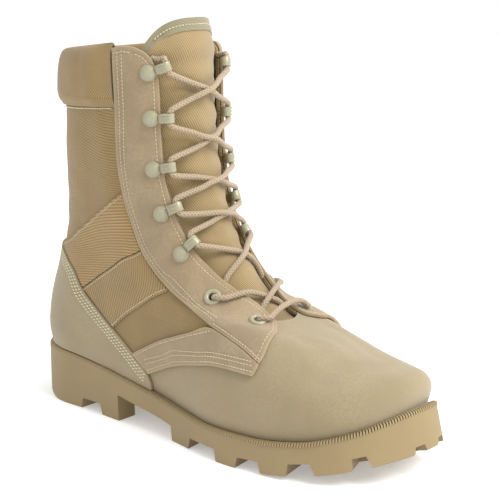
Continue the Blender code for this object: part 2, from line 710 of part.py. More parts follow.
def build_hooks(material, collection):
    shared = joined("hook", hook_mesh(), [arm_mesh()])
    shared.transform(Matrix.Scale(MM, 4))
    for side in ("outer", "inner"):
        for number, (u, v) in enumerate(HOOKS, start=1):
            frame = surface_frame(u, v, FACING_SEAT + LEATHER + 0.45, side == "inner")
            mesh = shared.copy()
            mesh.transform(frame)
            add_object(f"hook_{side}_{number}", mesh, material, collection)


def build_eyelets(material, collection, cutters):
    """Round eyelets through facing and upper, and the holes they sit in."""
    top = FACING_SEAT + LEATHER
    profile = ((2.4, -UPPER_WALL), (2.9, -UPPER_WALL), (2.9, top + 0.7), (5.2, top + 0.7),
               (4.9, top + 1.3), (3.6, top + 1.8), (2.4, top + 1.4))
    for side in ("outer", "inner"):
        holes = bmesh.new()
        for number, (u, v) in enumerate(EYELETS, start=1):
            frame = surface_frame(u, v, 0.0, side == "inner")
            mesh = turned_mesh("eyelet", profile, 10)
            mesh.transform(frame)
            add_object(f"eyelet_{side}_{number}", mesh, material, collection)
            made = bmesh.ops.create_cone(holes, cap_ends=True, segments=10, radius1=3.4 * MM,
                                         radius2=3.4 * MM, depth=14 * MM)
            bmesh.ops.transform(holes, matrix=frame, verts=made["verts"])
        cutter = add_cutter(f"eyelet_holes_{side}", holes, cutters)
        cut(collection.objects[f"facing_{side}"], cutter)
        cut(collection.objects["upper"], cutter)


def lace_at_hook(number, inner_side):
    """Four points of the lace past a hook, from above it to below it."""
    _, middle = hook_arm_outline()
    u, v = HOOKS[number]
    frame = surface_frame(u, v, FACING_SEAT + LEATHER + 0.45, inner_side)
    seat = HOOK_REACH - 1.0 - LACE_RADIUS - 0.5
    points = []
    for x, y, z in ((seat + 4.5, 9.5, middle + 1.8), (seat, 6.0, middle),
                    (seat, -6.0, middle), (seat + 4.5, -9.5, middle + 1.8)):
        point = frame @ (Vector((x, -y if inner_side else y, z)) * MM)
        points.append(np.array(point / MM + Vector((HEEL_CENTRE, 0, 0))))
    if points[0][2] < points[-1][2]:
        points.reverse()
    return points


def over_tongue(start, end, lift, shares=(0.38, 0.5, 0.62)):
    """Points of a lace between two (u, v) places, lying over the tongue."""
    points = []
    for share in shares:
        u = start[0] + (end[0] - start[0]) * share
        v = start[1] + (end[1] - start[1]) * share
        reach = 0.5 - float(throat_edge(v)) + 0.036
        _, tongue = tongue_shape((u - 0.5) / reach, v)
        hump = 1 - abs(2 * share - 1)
        points.append(upper_point(u, v, float(tongue) + LACE_RADIUS + 0.7 + lift * hump + 1.6 * (1 - hump)))
    return points


def taut_crossing(start, end, lift):
    """Points of a lace pulled tight between two hooks: on the tongue, under a straight line."""
    points = []
    tries = np.linspace(0.48, 1.0, 105)
    toward_inner = 1 if end[1] > start[1] else -1
    for share in (0.3, 0.5, 0.7):
        u = 0.5 + 0.088 * (2 * share - 1) * toward_inner
        _, tongue = tongue_shape((u - 0.5) / (0.5 - throat_edge(tries) + 0.036), tries)
        hump = 1 - abs(2 * share - 1)
        out = tongue + LACE_RADIUS + 0.7 + lift * hump + 1.6 * (1 - hump)
        near = upper_point(np.full(len(tries), u), tries, out)
        aim = start + (end - start) * share
        points.append(near[np.argmin(np.linalg.norm(near - aim, axis=1))])
    return points


def lace_mesh(name, points):
    """Round cord along a smooth line through the points."""
    points = np.array(points)
    steps = np.linalg.norm(np.diff(points, axis=0), axis=1)
    distance = np.concatenate([[0], np.cumsum(steps)])
    count = max(4, int(distance[-1] / 6.3))
    at = np.linspace(0, distance[-1], count + 1)
    path = np.stack([smooth(at, list(zip(distance, points[:, axis]))) for axis in range(3)], axis=-1)
    curve = bpy.data.curves.new(name, "CURVE")
    curve.dimensions = "3D"
    curve.bevel_depth = LACE_RADIUS * MM
    curve.bevel_resolution = 2
    curve.use_fill_caps = True
    spline = curve.splines.new("POLY")
    spline.points.add(len(path) - 1)
    for point, target in zip(spline.points, place(path)):
        point.co = (*target, 1.0)
    holder = bpy.data.objects.new(name, curve)
    bpy.context.scene.collection.objects.link(holder)
    graph = bpy.context.evaluated_depsgraph_get()
    mesh = bpy.data.meshes.new_from_object(holder.evaluated_get(graph))
    bpy.data.objects.remove(holder)
    shape = bmesh.new()
    shape.from_mesh(mesh)
    bmesh.ops.remove_doubles(shape, verts=shape.verts, dist=1e-6)
    bmesh.ops.recalc_face_normals(shape, faces=shape.faces)
    shape.to_mesh(mesh)
    shape.free()
    return mesh


def cord_through_hooks(starts_inner, lift):
    """Points of one half of the lace, from a top hook down, from side to side."""
    inner = starts_inner
    points = lace_at_hook(0, inner)
    for number in range(1, len(HOOKS)):
        inner = not inner
        below = lace_at_hook(number, inner)
        points += taut_crossing(points[-1], below[0], lift) + below
    u, v = HOOKS[-1]
    low_v = 0.462
    edge = float(throat_edge(low_v)) + 0.012
    start = (1 - u - 0.035, v) if inner else (u + 0.035, v)
    end = (edge, low_v) if inner else (1 - edge, low_v)
    points += over_tongue(start, end, lift, (0.42, 0.56, 0.7, 0.88))
    return points


def build_laces(material, collection):
    """Crossings joined where they cross, and the bar at the bottom."""
    under = lace_mesh("lace under", cord_through_hooks(False, 0.2))
    over = lace_mesh("lace over", cord_through_hooks(True, 2.4))
    add_object("lace_crossings", joined("lace_crossings", under, [over]), material, collection)
    crossing = []
    (u2, v2), (u1, v1) = EYELETS
    for inner in (False, True):
        path = []
        for share, v, out in ((0.0, v2, 6.6), (0.25, v2 - 0.001, 6.6), (0.5, 0.428, 5.4), (0.8, 0.424, 3.4)):
            far = 1 - float(throat_edge(0.42)) - 0.012
            u = u2 + (far - u2) * share
            path.append(upper_point(1 - u if inner else u, v, out))
        crossing.append(lace_mesh("lace lower", path))
    add_object("lace_lower", joined("lace_lower", crossing[0], [crossing[1]]), material, collection)
    bar = []
    for share in np.linspace(0, 1, 9):
        u = u1 + (1 - 2 * u1) * share
        hump = 1 - (2 * share - 1) ** 2
        bar.append(upper_point(u, v1 + 0.018 * hump, 6.4 + 1.5 * hump))
    add_object("lace_bar", lace_mesh("lace_bar", bar), material, collection)


def main():
    for old in list(bpy.data.objects):
        bpy.data.objects.remove(old)
    boot = bpy.data.collections.new("jungle boot")
    cutters = bpy.data.collections.new("cutters")
    bpy.context.scene.collection.children.link(boot)
    bpy.context.scene.collection.children.link(cutters)
    materials = {
        "rubber": make_material("rubber", (0.33, 0.24, 0.15), 0.75),
        "nubuck": make_material("nubuck", (0.50, 0.42, 0.30), 0.9),
        "suede": make_material("suede", (0.52, 0.41, 0.30), 0.95),
        "cloth": make_material("cloth", (0.47, 0.36, 0.20), 0.9),
        "tape": make_material("tape", (0.30, 0.27, 0.18), 0.9),
        "lace": make_material("lace", (0.50, 0.40, 0.27), 0.85),
        "footbed": make_material("footbed", (0.10, 0.09, 0.07), 0.9),
        "paint": make_material("paint", (0.45, 0.45, 0.33), 0.35),
    }
    build_outsole(materials["rubber"], boot, cutters)
    build_insole(materials["footbed"], boot)
    build_upper(materials["nubuck"], boot)
    build_counter(materials["nubuck"], boot)
    build_side_overlays(materials, boot)
    build_cuff(materials["cloth"], boot)
    build_tongue(materials["cloth"], materials["tape"], boot)
    build_hooks(materials["paint"], boot)
    build_eyelets(materials["paint"], boot, cutters)
    build_laces(materials["lace"], boot)


main()
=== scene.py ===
import json
import math

import bmesh
import bpy
import numpy as np
from mathutils import Matrix, Vector

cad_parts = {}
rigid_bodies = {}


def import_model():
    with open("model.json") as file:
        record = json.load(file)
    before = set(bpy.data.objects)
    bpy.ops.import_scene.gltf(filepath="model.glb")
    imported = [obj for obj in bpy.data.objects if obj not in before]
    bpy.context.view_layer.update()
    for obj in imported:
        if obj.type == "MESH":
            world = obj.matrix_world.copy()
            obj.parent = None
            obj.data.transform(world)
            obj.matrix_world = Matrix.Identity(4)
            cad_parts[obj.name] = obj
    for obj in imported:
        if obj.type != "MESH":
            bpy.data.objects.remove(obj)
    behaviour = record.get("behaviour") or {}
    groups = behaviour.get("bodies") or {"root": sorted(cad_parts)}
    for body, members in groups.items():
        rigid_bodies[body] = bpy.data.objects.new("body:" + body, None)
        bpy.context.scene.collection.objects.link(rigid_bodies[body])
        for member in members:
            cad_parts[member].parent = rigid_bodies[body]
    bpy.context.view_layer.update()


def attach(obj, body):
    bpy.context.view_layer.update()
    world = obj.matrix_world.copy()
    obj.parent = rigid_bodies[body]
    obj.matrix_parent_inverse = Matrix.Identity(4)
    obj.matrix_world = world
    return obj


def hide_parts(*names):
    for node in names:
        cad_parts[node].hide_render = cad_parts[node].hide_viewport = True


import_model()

# Jungle boot for the right foot. Sizes are in millimetres from the back of the heel, and
# place() puts every mesh in metres with its origin under the middle of the heel.
MM = 0.001
HEEL_CENTRE = 40.0
SOLE_LENGTH = 305.0

# Thickness of each layer, and how far an overlay's back lies off the upper.
SHELL = 1.2
LINING_DEPTH = 1.25
LINING = 1.1
UPPER_WALL = 2.4
LEATHER = 1.9
CLOTH = 0.9
SEAT = 0.45
FACING_SEAT = 0.65
EDGE_GAP = 0.35
GROOVE = 0.3
GROOVE_WIDTH = 0.9

# Lace, hooks and eyelets.
LACE_RADIUS = 1.8
HOOK_REACH = 15.0
HOOK_HEAD = 5.2
HOOK_NECK = 7.0
HOOK_WIDTH = 6.0
HOOK_SHEET = 1.0
HOOK_TOP = 3.3
HOOK_ROOM = 2 * LACE_RADIUS + 1.0
HOOK_SEAT = FACING_SEAT + LEATHER + 0.45
RIDGES_AT = (-2.2, 0.0, 2.2)
FLANGE_RADIUS = 4.0
FLANGE_ROUND = 1.45
BARREL_RADIUS = 2.95
HOLE_RADIUS = 3.1

# Lengths round and up the upper that u and v from 0 to 1 stand for, and the last's top.
AROUND = 420.0
UPWARDS = 215.0
TOP_LEVEL = 1.15
TONGUE_HIDDEN = 0.036
SIDES = ((False, "outer"), (True, "inner"))

# Camera fitted to the photo: degrees, lens in millimetres, shifts in frame widths, metres.
AZIMUTH = 42.6
ELEVATION = 11.3
ROLL = 1.2
LENS = 89.83
SHIFT = (0.0668, -0.014)
AIM = (0.110, 0.0, 0.120)
DISTANCE = 0.8
WHITE = (1.0, 1.0, 1.0, 1.0)

# The last: one row per section from the sole (v = 0) to above the collar (v = 1.15).
SECTION_COLUMNS = ("v", "back_x", "back_z", "front_x", "front_z", "rear", "middle", "fore",
                   "rear_at", "fore_at", "round", "level")
SECTIONS = (
    (0.00, 4.0, 38.5, 299.5, 38.0, 34.5, 35.0, 48.0, 0.14, 0.68, 2.3, 0.0),
    (0.06, 2.5, 52.0, 302.0, 49.0, 36.0, 36.5, 50.5, 0.14, 0.68, 2.3, 0.0),
    (0.12, 4.0, 66.0, 298.0, 59.0, 36.0, 36.5, 48.5, 0.15, 0.68, 2.3, 0.1),
    (0.18, 7.0, 80.0, 286.0, 66.0, 34.5, 36.0, 44.0, 0.16, 0.68, 2.2, 0.35),
    (0.25, 11.0, 94.0, 266.0, 70.5, 32.5, 35.5, 38.5, 0.18, 0.68, 2.1, 0.7),
    (0.32, 14.5, 107.0, 241.0, 73.0, 31.5, 35.0, 34.5, 0.20, 0.68, 2.0, 1.0),
    (0.39, 17.5, 119.0, 215.0, 78.5, 31.0, 34.5, 32.0, 0.22, 0.68, 2.0, 1.0),
    (0.46, 20.0, 132.0, 190.0, 92.0, 31.5, 34.0, 31.0, 0.25, 0.68, 2.0, 1.0),
    (0.54, 22.0, 147.0, 169.0, 114.0, 33.5, 35.5, 32.0, 0.30, 0.66, 2.0, 1.0),
    (0.63, 24.0, 164.0, 154.5, 140.0, 36.0, 37.5, 34.5, 0.35, 0.64, 2.0, 1.0),
    (0.75, 26.5, 188.0, 145.0, 175.0, 39.0, 40.0, 38.0, 0.38, 0.62, 2.0, 1.0),
    (0.87, 30.5, 213.0, 142.0, 211.0, 40.5, 41.5, 40.5, 0.40, 0.60, 2.0, 1.0),
    (1.00, 34.0, 238.0, 141.0, 246.0, 40.5, 42.0, 42.0, 0.40, 0.60, 2.0, 1.0),
    (1.15, 35.5, 264.0, 141.0, 276.0, 40.5, 42.0, 42.0, 0.40, 0.60, 2.0, 1.0),
)
BASE_BACK, BASE_FRONT = SECTIONS[0][2], SECTIONS[0][4]
SOLE_TOP = ((0, 39.0), (40, 37.5), (82, 33.5), (128, 26.5), (159, 22.0), (189, 19.5),
            (220, 19.5), (253, 22.5), (284, 31.0), (305, 41.5))
SWING = ((0, 0.0), (60, -1.0), (128, -3.5), (200, -2.0), (255, -1.0), (285, 2.0), (305, 8.0))

# Seams and edges as (u, v) points on the outer side.
THROAT_BASE = 0.40
THROAT_EDGE = ((0.00, 0.400), (0.30, 0.430), (0.40, 0.455), (0.43, 0.456), (0.46, 0.440),
               (0.50, 0.416), (0.56, 0.394), (0.67, 0.387), (0.79, 0.392), (0.92, 0.396),
               (0.955, 0.388), (0.985, 0.370), (1.00, 0.346))
COUNTER_TOP = ((0.0, 0.338), (0.045, 0.335), (0.09, 0.323), (0.124, 0.280), (0.141, 0.220),
               (0.164, 0.173), (0.185, 0.133), (0.205, 0.092), (0.2215, 0.052))
COUNTER_SIDE = 0.2240
WEB_TOP = ((0.060, 0.333), (0.105, 0.385), (0.146, 0.455), (0.200, 0.537), (0.251, 0.605),
           (0.284, 0.647))
WEB_BOTTOM = ((0.141, 0.220), (0.170, 0.295), (0.225, 0.422), (0.280, 0.497))
WEB_REAR = ((0.141, 0.220), (0.124, 0.280), (0.090, 0.323), (0.060, 0.333))
WEB_FRONT = ((0.280, 0.497), (0.283, 0.570), (0.284, 0.647))
BAND_BOTTOM = ((0.184, 0.135), (0.205, 0.200), (0.239, 0.283), (0.289, 0.390))
BAND_REAR = ((0.184, 0.135), (0.164, 0.173), (0.141, 0.220))
BAND_FRONT = ((0.289, 0.390), (0.283, 0.450), (0.280, 0.497))
QUARTER_TOP = ((0.205, 0.092), (0.224, 0.140), (0.249, 0.188), (0.278, 0.233), (0.312, 0.278),
               (0.3255, 0.2625), (0.3375, 0.2375), (0.3475, 0.2075))
QUARTER_BOTTOM = ((0.2225, 0.052), (0.239, 0.092), (0.256, 0.125), (0.278, 0.150),
                  (0.297, 0.165), (0.318, 0.168), (0.334, 0.168))
QUARTER_REAR = ((0.2225, 0.052), (0.205, 0.092))
QUARTER_FRONT = ((0.334, 0.168), (0.346, 0.205))
FACING_REAR = ((0.312, 0.278), (0.296, 0.323), (0.289, 0.398), (0.283, 0.450), (0.280, 0.497),
               (0.283, 0.570), (0.284, 0.635), (0.289, 0.703), (0.296, 0.790), (0.300, 0.863),
               (0.302, 1.010))
FACING_FRONT = (((0.346, 0.205), (0.375, 0.275), (0.426, 0.355), (0.451, 0.395), (0.456, 0.430))
                + tuple((u, v) for v, u in THROAT_EDGE[4:10])
                + ((0.389, 0.958), (0.372, 0.988), (0.348, 1.006)))
FACING_BOTTOM = ((0.312, 0.278), (0.324, 0.260), (0.336, 0.235), (0.346, 0.205))
FACING_TOP = ((0.302, 1.010), (0.325, 1.012), (0.348, 1.006))

# Rear edge of the vamp, hidden under counter, quarter and facing: height v and place u.
VAMP_REAR = ((0.0, 0.198), (0.07, 0.208), (0.19, 0.275), (0.23, 0.325), (0.30, 0.362),
             (0.375, 0.400), (0.40, 0.420))

HOOKS = ((0.375, 0.938), (0.374, 0.835), (0.367, 0.723), (0.361, 0.620), (0.367, 0.530))
EYELETS = ((0.372, 0.432), (0.406, 0.375))

# Creases of the worn-in upper: from one (u, v) to another, half width and depth in
# millimetres. A depth below zero is a soft swelling. Columns: u1, v1, u2, v2, width, depth.
CREASES = (
    (0.405, 0.190, 0.440, 0.310, 8.0, 0.9),
    (0.455, 0.215, 0.475, 0.300, 6.0, -0.5),
    (0.350, 0.120, 0.390, 0.170, 7.0, 0.6),
    (0.300, 0.080, 0.340, 0.120, 8.0, 0.5),
    (0.425, 0.080, 0.455, 0.140, 9.0, 0.4),
    (0.520, 0.240, 0.560, 0.310, 7.0, 0.8),
    (0.590, 0.110, 0.640, 0.160, 8.0, 0.7),
    (0.700, 0.080, 0.740, 0.130, 8.0, 0.5),
    (0.060, 0.430, 0.150, 0.490, 6.0, 0.7),
    (0.040, 0.520, 0.160, 0.560, 7.0, 0.6),
    (0.180, 0.640, 0.250, 0.700, 8.0, 0.5),
    (0.050, 0.660, 0.110, 0.780, 8.0, 0.5),
    (0.210, 0.300, 0.260, 0.330, 5.0, 0.5),
    (0.850, 0.450, 0.930, 0.480, 6.0, 0.7),
    (0.780, 0.600, 0.880, 0.560, 7.0, 0.6),
    (0.900, 0.640, 0.940, 0.760, 8.0, 0.5),
    (0.330, 0.560, 0.350, 0.620, 5.0, 0.4),
    (0.640, 0.540, 0.660, 0.600, 5.0, 0.4),
)

# Padded collar: how far out and how high each point of its section lies.
CUFF_SECTION = ((0.60, 0.847), (3.6, 0.846), (5.7, 0.868), (6.4, 0.920), (6.0, 0.972),
                (4.0, 1.010), (0.8, 1.025), (-2.4, 1.018), (-5.0, 0.985), (-5.6, 0.930),
                (-4.6, 0.890), (-3.0, 0.885), (-3.0, 1.000), (0.60, 1.000))
CUFF_END = 0.2985

# Sole: flare of the side towards the toe, bevel under the heel, the lip's height and reach,
# and the channels. Their columns: x, y, turn, length, width at the floor and at the roof, depth.
SOLE_PLAN = {"rear": 38.5, "middle": 40.0, "fore": 53.0, "rear_at": 0.14, "fore_at": 0.68, "round": 2.2}
SPRING_FROM = 0.68
TOE_SPRING = 17.0
SOLE_FLARE = ((0, 0.4), (60, 0.0), (120, 0.3), (200, 1.6), (260, 3.2), (305, 4.4))
HEEL_BEVEL = ((0, 4.0), (14, 3.0), (30, 0.6), (305, 0.6))
SOLE_LIP = ((1.9, 0.0), (1.3, 0.5), (0.7, 1.1), (0.2, 2.2))
SIDE_CHANNELS = (
    (68.5, 30.0, 0.0, 36.0, 23.0, 18.5, 7.5),
    (181.5, 42.0, -8.0, 42.0, 27.0, 23.0, 7.5),
    (220.5, 44.0, -8.0, 42.0, 19.5, 15.0, 7.0),
    (255.5, 42.0, -14.0, 42.0, 19.0, 14.0, 7.0),
    (286.0, 30.0, -24.0, 30.0, 12.0, 8.0, 6.5),
    (306.0, 10.0, -75.0, 14.0, 9.0, 7.0, 3.0),
)
LONG_CHANNEL = (208.0, 17.0, 90.0, 92.0, 7.0, 5.0, 6.0)
MIDDLE_CHANNEL = (6.5, 25.0, 17.0, 7.0, 5.0, 6.0)
MIDDLE_CHANNELS_AT = (165.0, 188.0, 236.0, 259.0)
ARCH = ((97.0, 18.0), (150.0, 9.8))
HEEL_RECESS = (62.0, 98.0, 27.0)
BELOW_FLOOR = -8.0

# Ribs of the sole's lip: their section as reach inwards and height, and the seam under the
# collar.
RIB_PITCH = 1.8
RIB_HALF = 0.46
RIBS_FROM = 78.0
RIB_SECTION = ((-0.35, -1.9), (-0.35, -0.9), (0.3, 0.15), (2.4, 0.5), (2.4, -1.9))
COLLAR_SEAM = ((0.0, 0.828), (0.15, 0.838), (0.29, 0.852))

# Panels: finish, slot, thickness and how far the back lies off the upper.
PANELS = {
    "web": ("webbing", "webbing", CLOTH, SEAT),
    "band": ("coarse_cloth", "webbing", CLOTH, SEAT),
    "counter": ("nubuck", "nubuck", LEATHER, SEAT),
    "quarter": ("suede", "suede", LEATHER, FACING_SEAT),
    "facing": ("suede", "suede", LEATHER, FACING_SEAT),
}
PANEL_EDGES = (
    ("web", "ankle_web", WEB_BOTTOM, WEB_TOP, WEB_REAR, WEB_FRONT, 70, 34),
    ("band", "ankle_band", BAND_BOTTOM, WEB_BOTTOM, BAND_REAR, BAND_FRONT, 56, 26),
    ("quarter", "quarter", QUARTER_BOTTOM, QUARTER_TOP, QUARTER_REAR, QUARTER_FRONT, 90, 26),
    ("facing", "facing", FACING_BOTTOM, FACING_TOP, FACING_REAR, FACING_FRONT, 30, 190),
)

# Rows of stitches: panel, edge line, distances in from that edge, pitch, thread.
STITCH_ROWS = (
    ("facing", FACING_REAR, (-4.0, -7.0), 2.3, "thread"),
    ("facing", FACING_FRONT, (3.6,), 2.5, "thread"),
    ("facing", FACING_TOP, (-3.6,), 2.5, "thread"),
    ("facing", FACING_BOTTOM, (2.2,), 2.5, "thread"),
    ("quarter", QUARTER_TOP[:5], (-2.4,), 2.3, "thread"),
    ("quarter", QUARTER_BOTTOM, (3.0, 6.6, 9.2), 2.3, "thread"),
    ("counter", COUNTER_TOP, (-2.2, -4.6, -7.0), 2.6, "pale_thread"),
    ("web", WEB_TOP, (-2.0,), 2.2, "thread"),
    ("band", WEB_BOTTOM, (-1.8,), 2.2, "thread"),
    ("band", BAND_BOTTOM, (2.2,), 2.2, "thread"),
)

finishes = {}


# Colour, curves and vectors

def srgb(red, green, blue):
    """Colour as measured on a screen, 0 to 255, for a shader."""
    channels = [value / 255 for value in (red, green, blue)]
    return tuple(c / 12.92 if c <= 0.04045 else ((c + 0.055) / 1.055) ** 2.4 for c in channels) + (1.0,)


def smooth(at, table):
    """Read a two-column table at the given places, without overshooting its values."""
    places = np.array([row[0] for row in table], float)
    values = np.array([row[1] for row in table], float)
    step = np.diff(places)
    rise = np.diff(values) / step
    slope = np.zeros(len(values))
    same_way = rise[:-1] * rise[1:] > 0
    both = np.where(same_way, rise[:-1] + rise[1:], 1.0)
    slope[1:-1] = np.where(same_way, 2 * rise[:-1] * rise[1:] / both, 0.0)
    slope[0] = rise[0]
    slope[-1] = rise[-1]
    at = np.clip(np.asarray(at, float), places[0], places[-1])
    i = np.clip(np.searchsorted(places, at) - 1, 0, len(step) - 1)
    q = (at - places[i]) / step[i]
    start = (1 + 2 * q) * (1 - q) ** 2 * values[i] + q * (1 - q) ** 2 * step[i] * slope[i]
    end = q ** 2 * (3 - 2 * q) * values[i + 1] - q ** 2 * (1 - q) * step[i] * slope[i + 1]
    return start + end


def unit(vectors):
    """Vectors of length one, along the last axis."""
    return vectors / np.linalg.norm(vectors, axis=-1, keepdims=True)


def run_lengths(line):
    """Distance along a line of points, from its start to each point."""
    return np.concatenate([[0], np.cumsum(np.linalg.norm(np.diff(line, axis=0), axis=1))])


def read_line(at, distance, line):
    """Point of a line at a distance from its start, or points at many distances."""
    return np.stack([np.interp(at, distance, line[:, axis]) for axis in range(3)], axis=-1)


def between(before, start, end, after, q):
    """Smooth curve from start to end, led by the points before and after them."""
    return 0.5 * (2 * start + (end - before) * q + (2 * before - 5 * start + 4 * end - after) * q ** 2
                  + (3 * start - before - 3 * end + after) * q ** 3)


def off_line(x, y, line):
    """Distance of places from a straight line that starts at zero."""
    share = np.clip((x * line[0] + y * line[1]) / (line @ line), 0, 1)
    return np.hypot(x - share * line[0], y - share * line[1])


def ease(q):
    """Go smoothly from 0 to 1."""
    q = np.clip(q, 0.0, 1.0)
    return q * q * (3 - 2 * q)


# Surface of the last

def section(v):
    """Sizes of the upper's section at height v."""
    sizes = {}
    for i, name in enumerate(SECTION_COLUMNS):
        sizes[name] = smooth(v, [(row[0], row[i]) for row in SECTIONS])
    return sizes


def half_width(t, sizes):
    """Half width of a section at the fraction t of its length."""
    rear_at, fore_at = sizes["rear_at"], sizes["fore_at"]
    waist_at = (rear_at + fore_at) / 2
    back = np.clip(rear_at - t, 0, None) / rear_at
    rear = sizes["rear"] * np.sqrt(np.clip(1 - back ** 2, 0, 1))
    to_waist = ease((t - rear_at) / (waist_at - rear_at))
    to_ball = ease((t - waist_at) / (fore_at - waist_at))
    waist = sizes["rear"] + (sizes["middle"] - sizes["rear"]) * to_waist
    ball = sizes["middle"] + (sizes["fore"] - sizes["middle"]) * to_ball
    ahead = np.clip((t - fore_at) / (1 - fore_at), 0, 1)
    power = sizes["round"]
    toe = sizes["fore"] * np.clip(1 - ahead ** power, 0, 1) ** (1 / power)
    ahead_of_waist = np.where(t < fore_at, ball, toe)
    return np.where(t < rear_at, rear, np.where(t < waist_at, waist, ahead_of_waist))


def swing(x, v):
    """How far the boot's middle line swings towards the inner side."""
    return smooth(x, SWING) * np.clip(1 - 1.5 * v, 0, 1)


def last_point(u, v):
    """Point of the last's surface, in millimetres."""
    sizes = section(v)
    turn = 2 * math.pi * np.asarray(u, float)
    t = (1 - np.cos(turn)) / 2
    side = np.where(np.sin(turn) >= 0, -1.0, 1.0)
    x = sizes["back_x"] + (sizes["front_x"] - sizes["back_x"]) * t
    plane = sizes["back_z"] + (sizes["front_z"] - sizes["back_z"]) * t
    rise = plane - (BASE_BACK + (BASE_FRONT - BASE_BACK) * t)
    z = (smooth(x, SOLE_TOP) + rise) * (1 - sizes["level"]) + plane * sizes["level"]
    y = side * half_width(t, sizes) + swing(x, v)
    return np.stack([x, y, z], axis=-1)


def upper_normal(u, v):
    """Outward direction of the upper's surface."""
    step = 0.003
    around = last_point(u + step, v) - last_point(u - step, v)
    above = last_point(u, np.clip(v + step, 0, TOP_LEVEL))
    return unit(np.cross(around, above - last_point(u, np.clip(v - step, 0, TOP_LEVEL))))


def upper_point(u, v, out=0.0):
    """Point at a distance outside the upper's surface, in millimetres."""
    u = np.asarray(u, float)
    v = np.asarray(v, float)
    out = np.asarray(out, float)[..., None]
    return last_point(u, v) + upper_normal(u, v) * out


def relief(u, v):
    """How deep the creases press the surface in at a place."""
    depth = np.zeros(np.broadcast(u, v).shape)
    for u1, v1, u2, v2, width, deep in CREASES:
        x = (((u - u1 + 0.5) % 1.0) - 0.5) * AROUND
        line = np.array([(u2 - u1) * AROUND, (v2 - v1) * UPWARDS])
        depth += deep * np.exp(-(off_line(x, (v - v1) * UPWARDS, line) / width) ** 2)
    return depth * ease(v / 0.05)


def surface(u, v, out=0.0):
    """Point of the worn surface, out millimetres above it."""
    return upper_point(u, v, out - relief(u, v))


def throat_edge(v):
    return smooth(v, THROAT_EDGE)


def place(points):
    """Millimetres from the heel's back to metres from the heel's centre."""
    points = np.asarray(points, float) - np.array([HEEL_CENTRE, 0.0, 0.0])
    return points * MM


def line_run(line):
    """Distance over the upper along a line of (u, v) points, from its start to each."""
    steps = np.diff(np.array(line, float), axis=0) * (AROUND, UPWARDS)
    return np.concatenate([[0], np.cumsum(np.hypot(steps[:, 0], steps[:, 1]))])


def along(line, fractions):
    """Points at fractions of the length of a line of (u, v) points."""
    distance = line_run(line)
    shares = distance / distance[-1]
    return np.stack([smooth(fractions, [(at, point[axis]) for at, point in zip(shares, line)])
                     for axis in (0, 1)], axis=-1)


def patch(bottom, top, rear, front, columns, rows):
    """Grid of (u, v) points between four edge lines that meet at their ends."""
    trim_a = EDGE_GAP / max(line_run(bottom)[-1], line_run(top)[-1])
    trim_b = EDGE_GAP / max(line_run(rear)[-1], line_run(front)[-1])
    a = np.linspace(trim_a, 1 - trim_a, columns + 1)
    b = np.linspace(trim_b, 1 - trim_b, rows + 1)
    low, high = along(bottom, a), along(top, a)
    back, fore = along(rear, b), along(front, b)
    a = a[None, :, None]
    b = b[:, None, None]
    corners = ((1 - a) * (1 - b) * np.array(bottom[0]) + a * (1 - b) * np.array(bottom[-1])
               + (1 - a) * b * np.array(top[0]) + a * b * np.array(top[-1]))
    return ((1 - b) * low[None] + b * high[None] + (1 - a) * back[:, None]
            + a * fore[:, None] - corners)


def shifted(line, distance, count=400):
    """A (u, v) line moved sideways over the surface by a distance in millimetres."""
    points = along(line, np.linspace(0, 1, count))
    u, v = points[:, 0], points[:, 1]
    step = 0.002
    per_u = (last_point(u + step, v) - last_point(u - step, v)) / (2 * step)
    low, high = np.clip(v - step, 0, TOP_LEVEL), np.clip(v + step, 0, TOP_LEVEL)
    per_v = (last_point(u, high) - last_point(u, low)) / (high - low)[:, None]
    heading = unit(np.gradient(last_point(u, v), axis=0))
    aside = np.cross(upper_normal(u, v), heading) * distance
    pairs = ((per_u, per_u), (per_u, per_v), (per_v, per_v), (aside, per_u), (aside, per_v))
    uu, uv, vv, on_u, on_v = (np.sum(a * b, axis=1) for a, b in pairs)
    spread = uu * vv - uv ** 2
    return u + (on_u * vv - on_v * uv) / spread, v + (on_v * uu - on_u * uv) / spread


# Making pieces

def add_object(name, data):
    """Object that shows in the scene."""
    made = bpy.data.objects.new(name, data)
    bpy.context.scene.collection.objects.link(made)
    return made


def select_only(piece):
    bpy.ops.object.select_all(action="DESELECT")
    piece.select_set(True)
    bpy.context.view_layer.objects.active = piece


def apply_modifier(piece, kind, **settings):
    modifier = piece.modifiers.new(kind.title(), kind)
    for name, value in settings.items():
        setattr(modifier, name, value)
    select_only(piece)
    bpy.ops.object.modifier_apply(modifier=modifier.name)


def tidy_mesh(piece, weld=False):
    """Turn every face outwards, after welding points that coincide."""
    select_only(piece)
    bpy.ops.object.mode_set(mode="EDIT")
    bpy.ops.mesh.select_all(action="SELECT")
    if weld:
        bpy.ops.mesh.remove_doubles(threshold=0.000001)
    bpy.ops.mesh.normals_make_consistent(inside=False)
    bpy.ops.object.mode_set(mode="OBJECT")


def join_parts(parts):
    """Make one object of several, in place of the first."""
    bpy.ops.object.select_all(action="DESELECT")
    for part in parts:
        part.select_set(True)
    bpy.context.view_layer.objects.active = parts[0]
    bpy.ops.object.join()
    bpy.ops.object.transform_apply(location=True, rotation=True, scale=True)


def thicken(piece, thickness):
    apply_modifier(piece, "SOLIDIFY", thickness=thickness, offset=-1.0, use_rim=True)


def round_edges(piece, width, segments, degrees):
    apply_modifier(piece, "BEVEL", width=width, segments=segments, limit_method="ANGLE",
                   angle_limit=math.radians(degrees))


def smooth_shade(piece, degrees=60):
    select_only(piece)
    bpy.ops.object.shade_smooth_by_angle(angle=math.radians(degrees))


def dress(piece, finish, replaced=()):
    """Give a finished piece its material and its body."""
    piece.data.materials.clear()
    piece.data.materials.append(finishes[finish])
    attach(piece, "root")
    if replaced:
        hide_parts(*replaced)


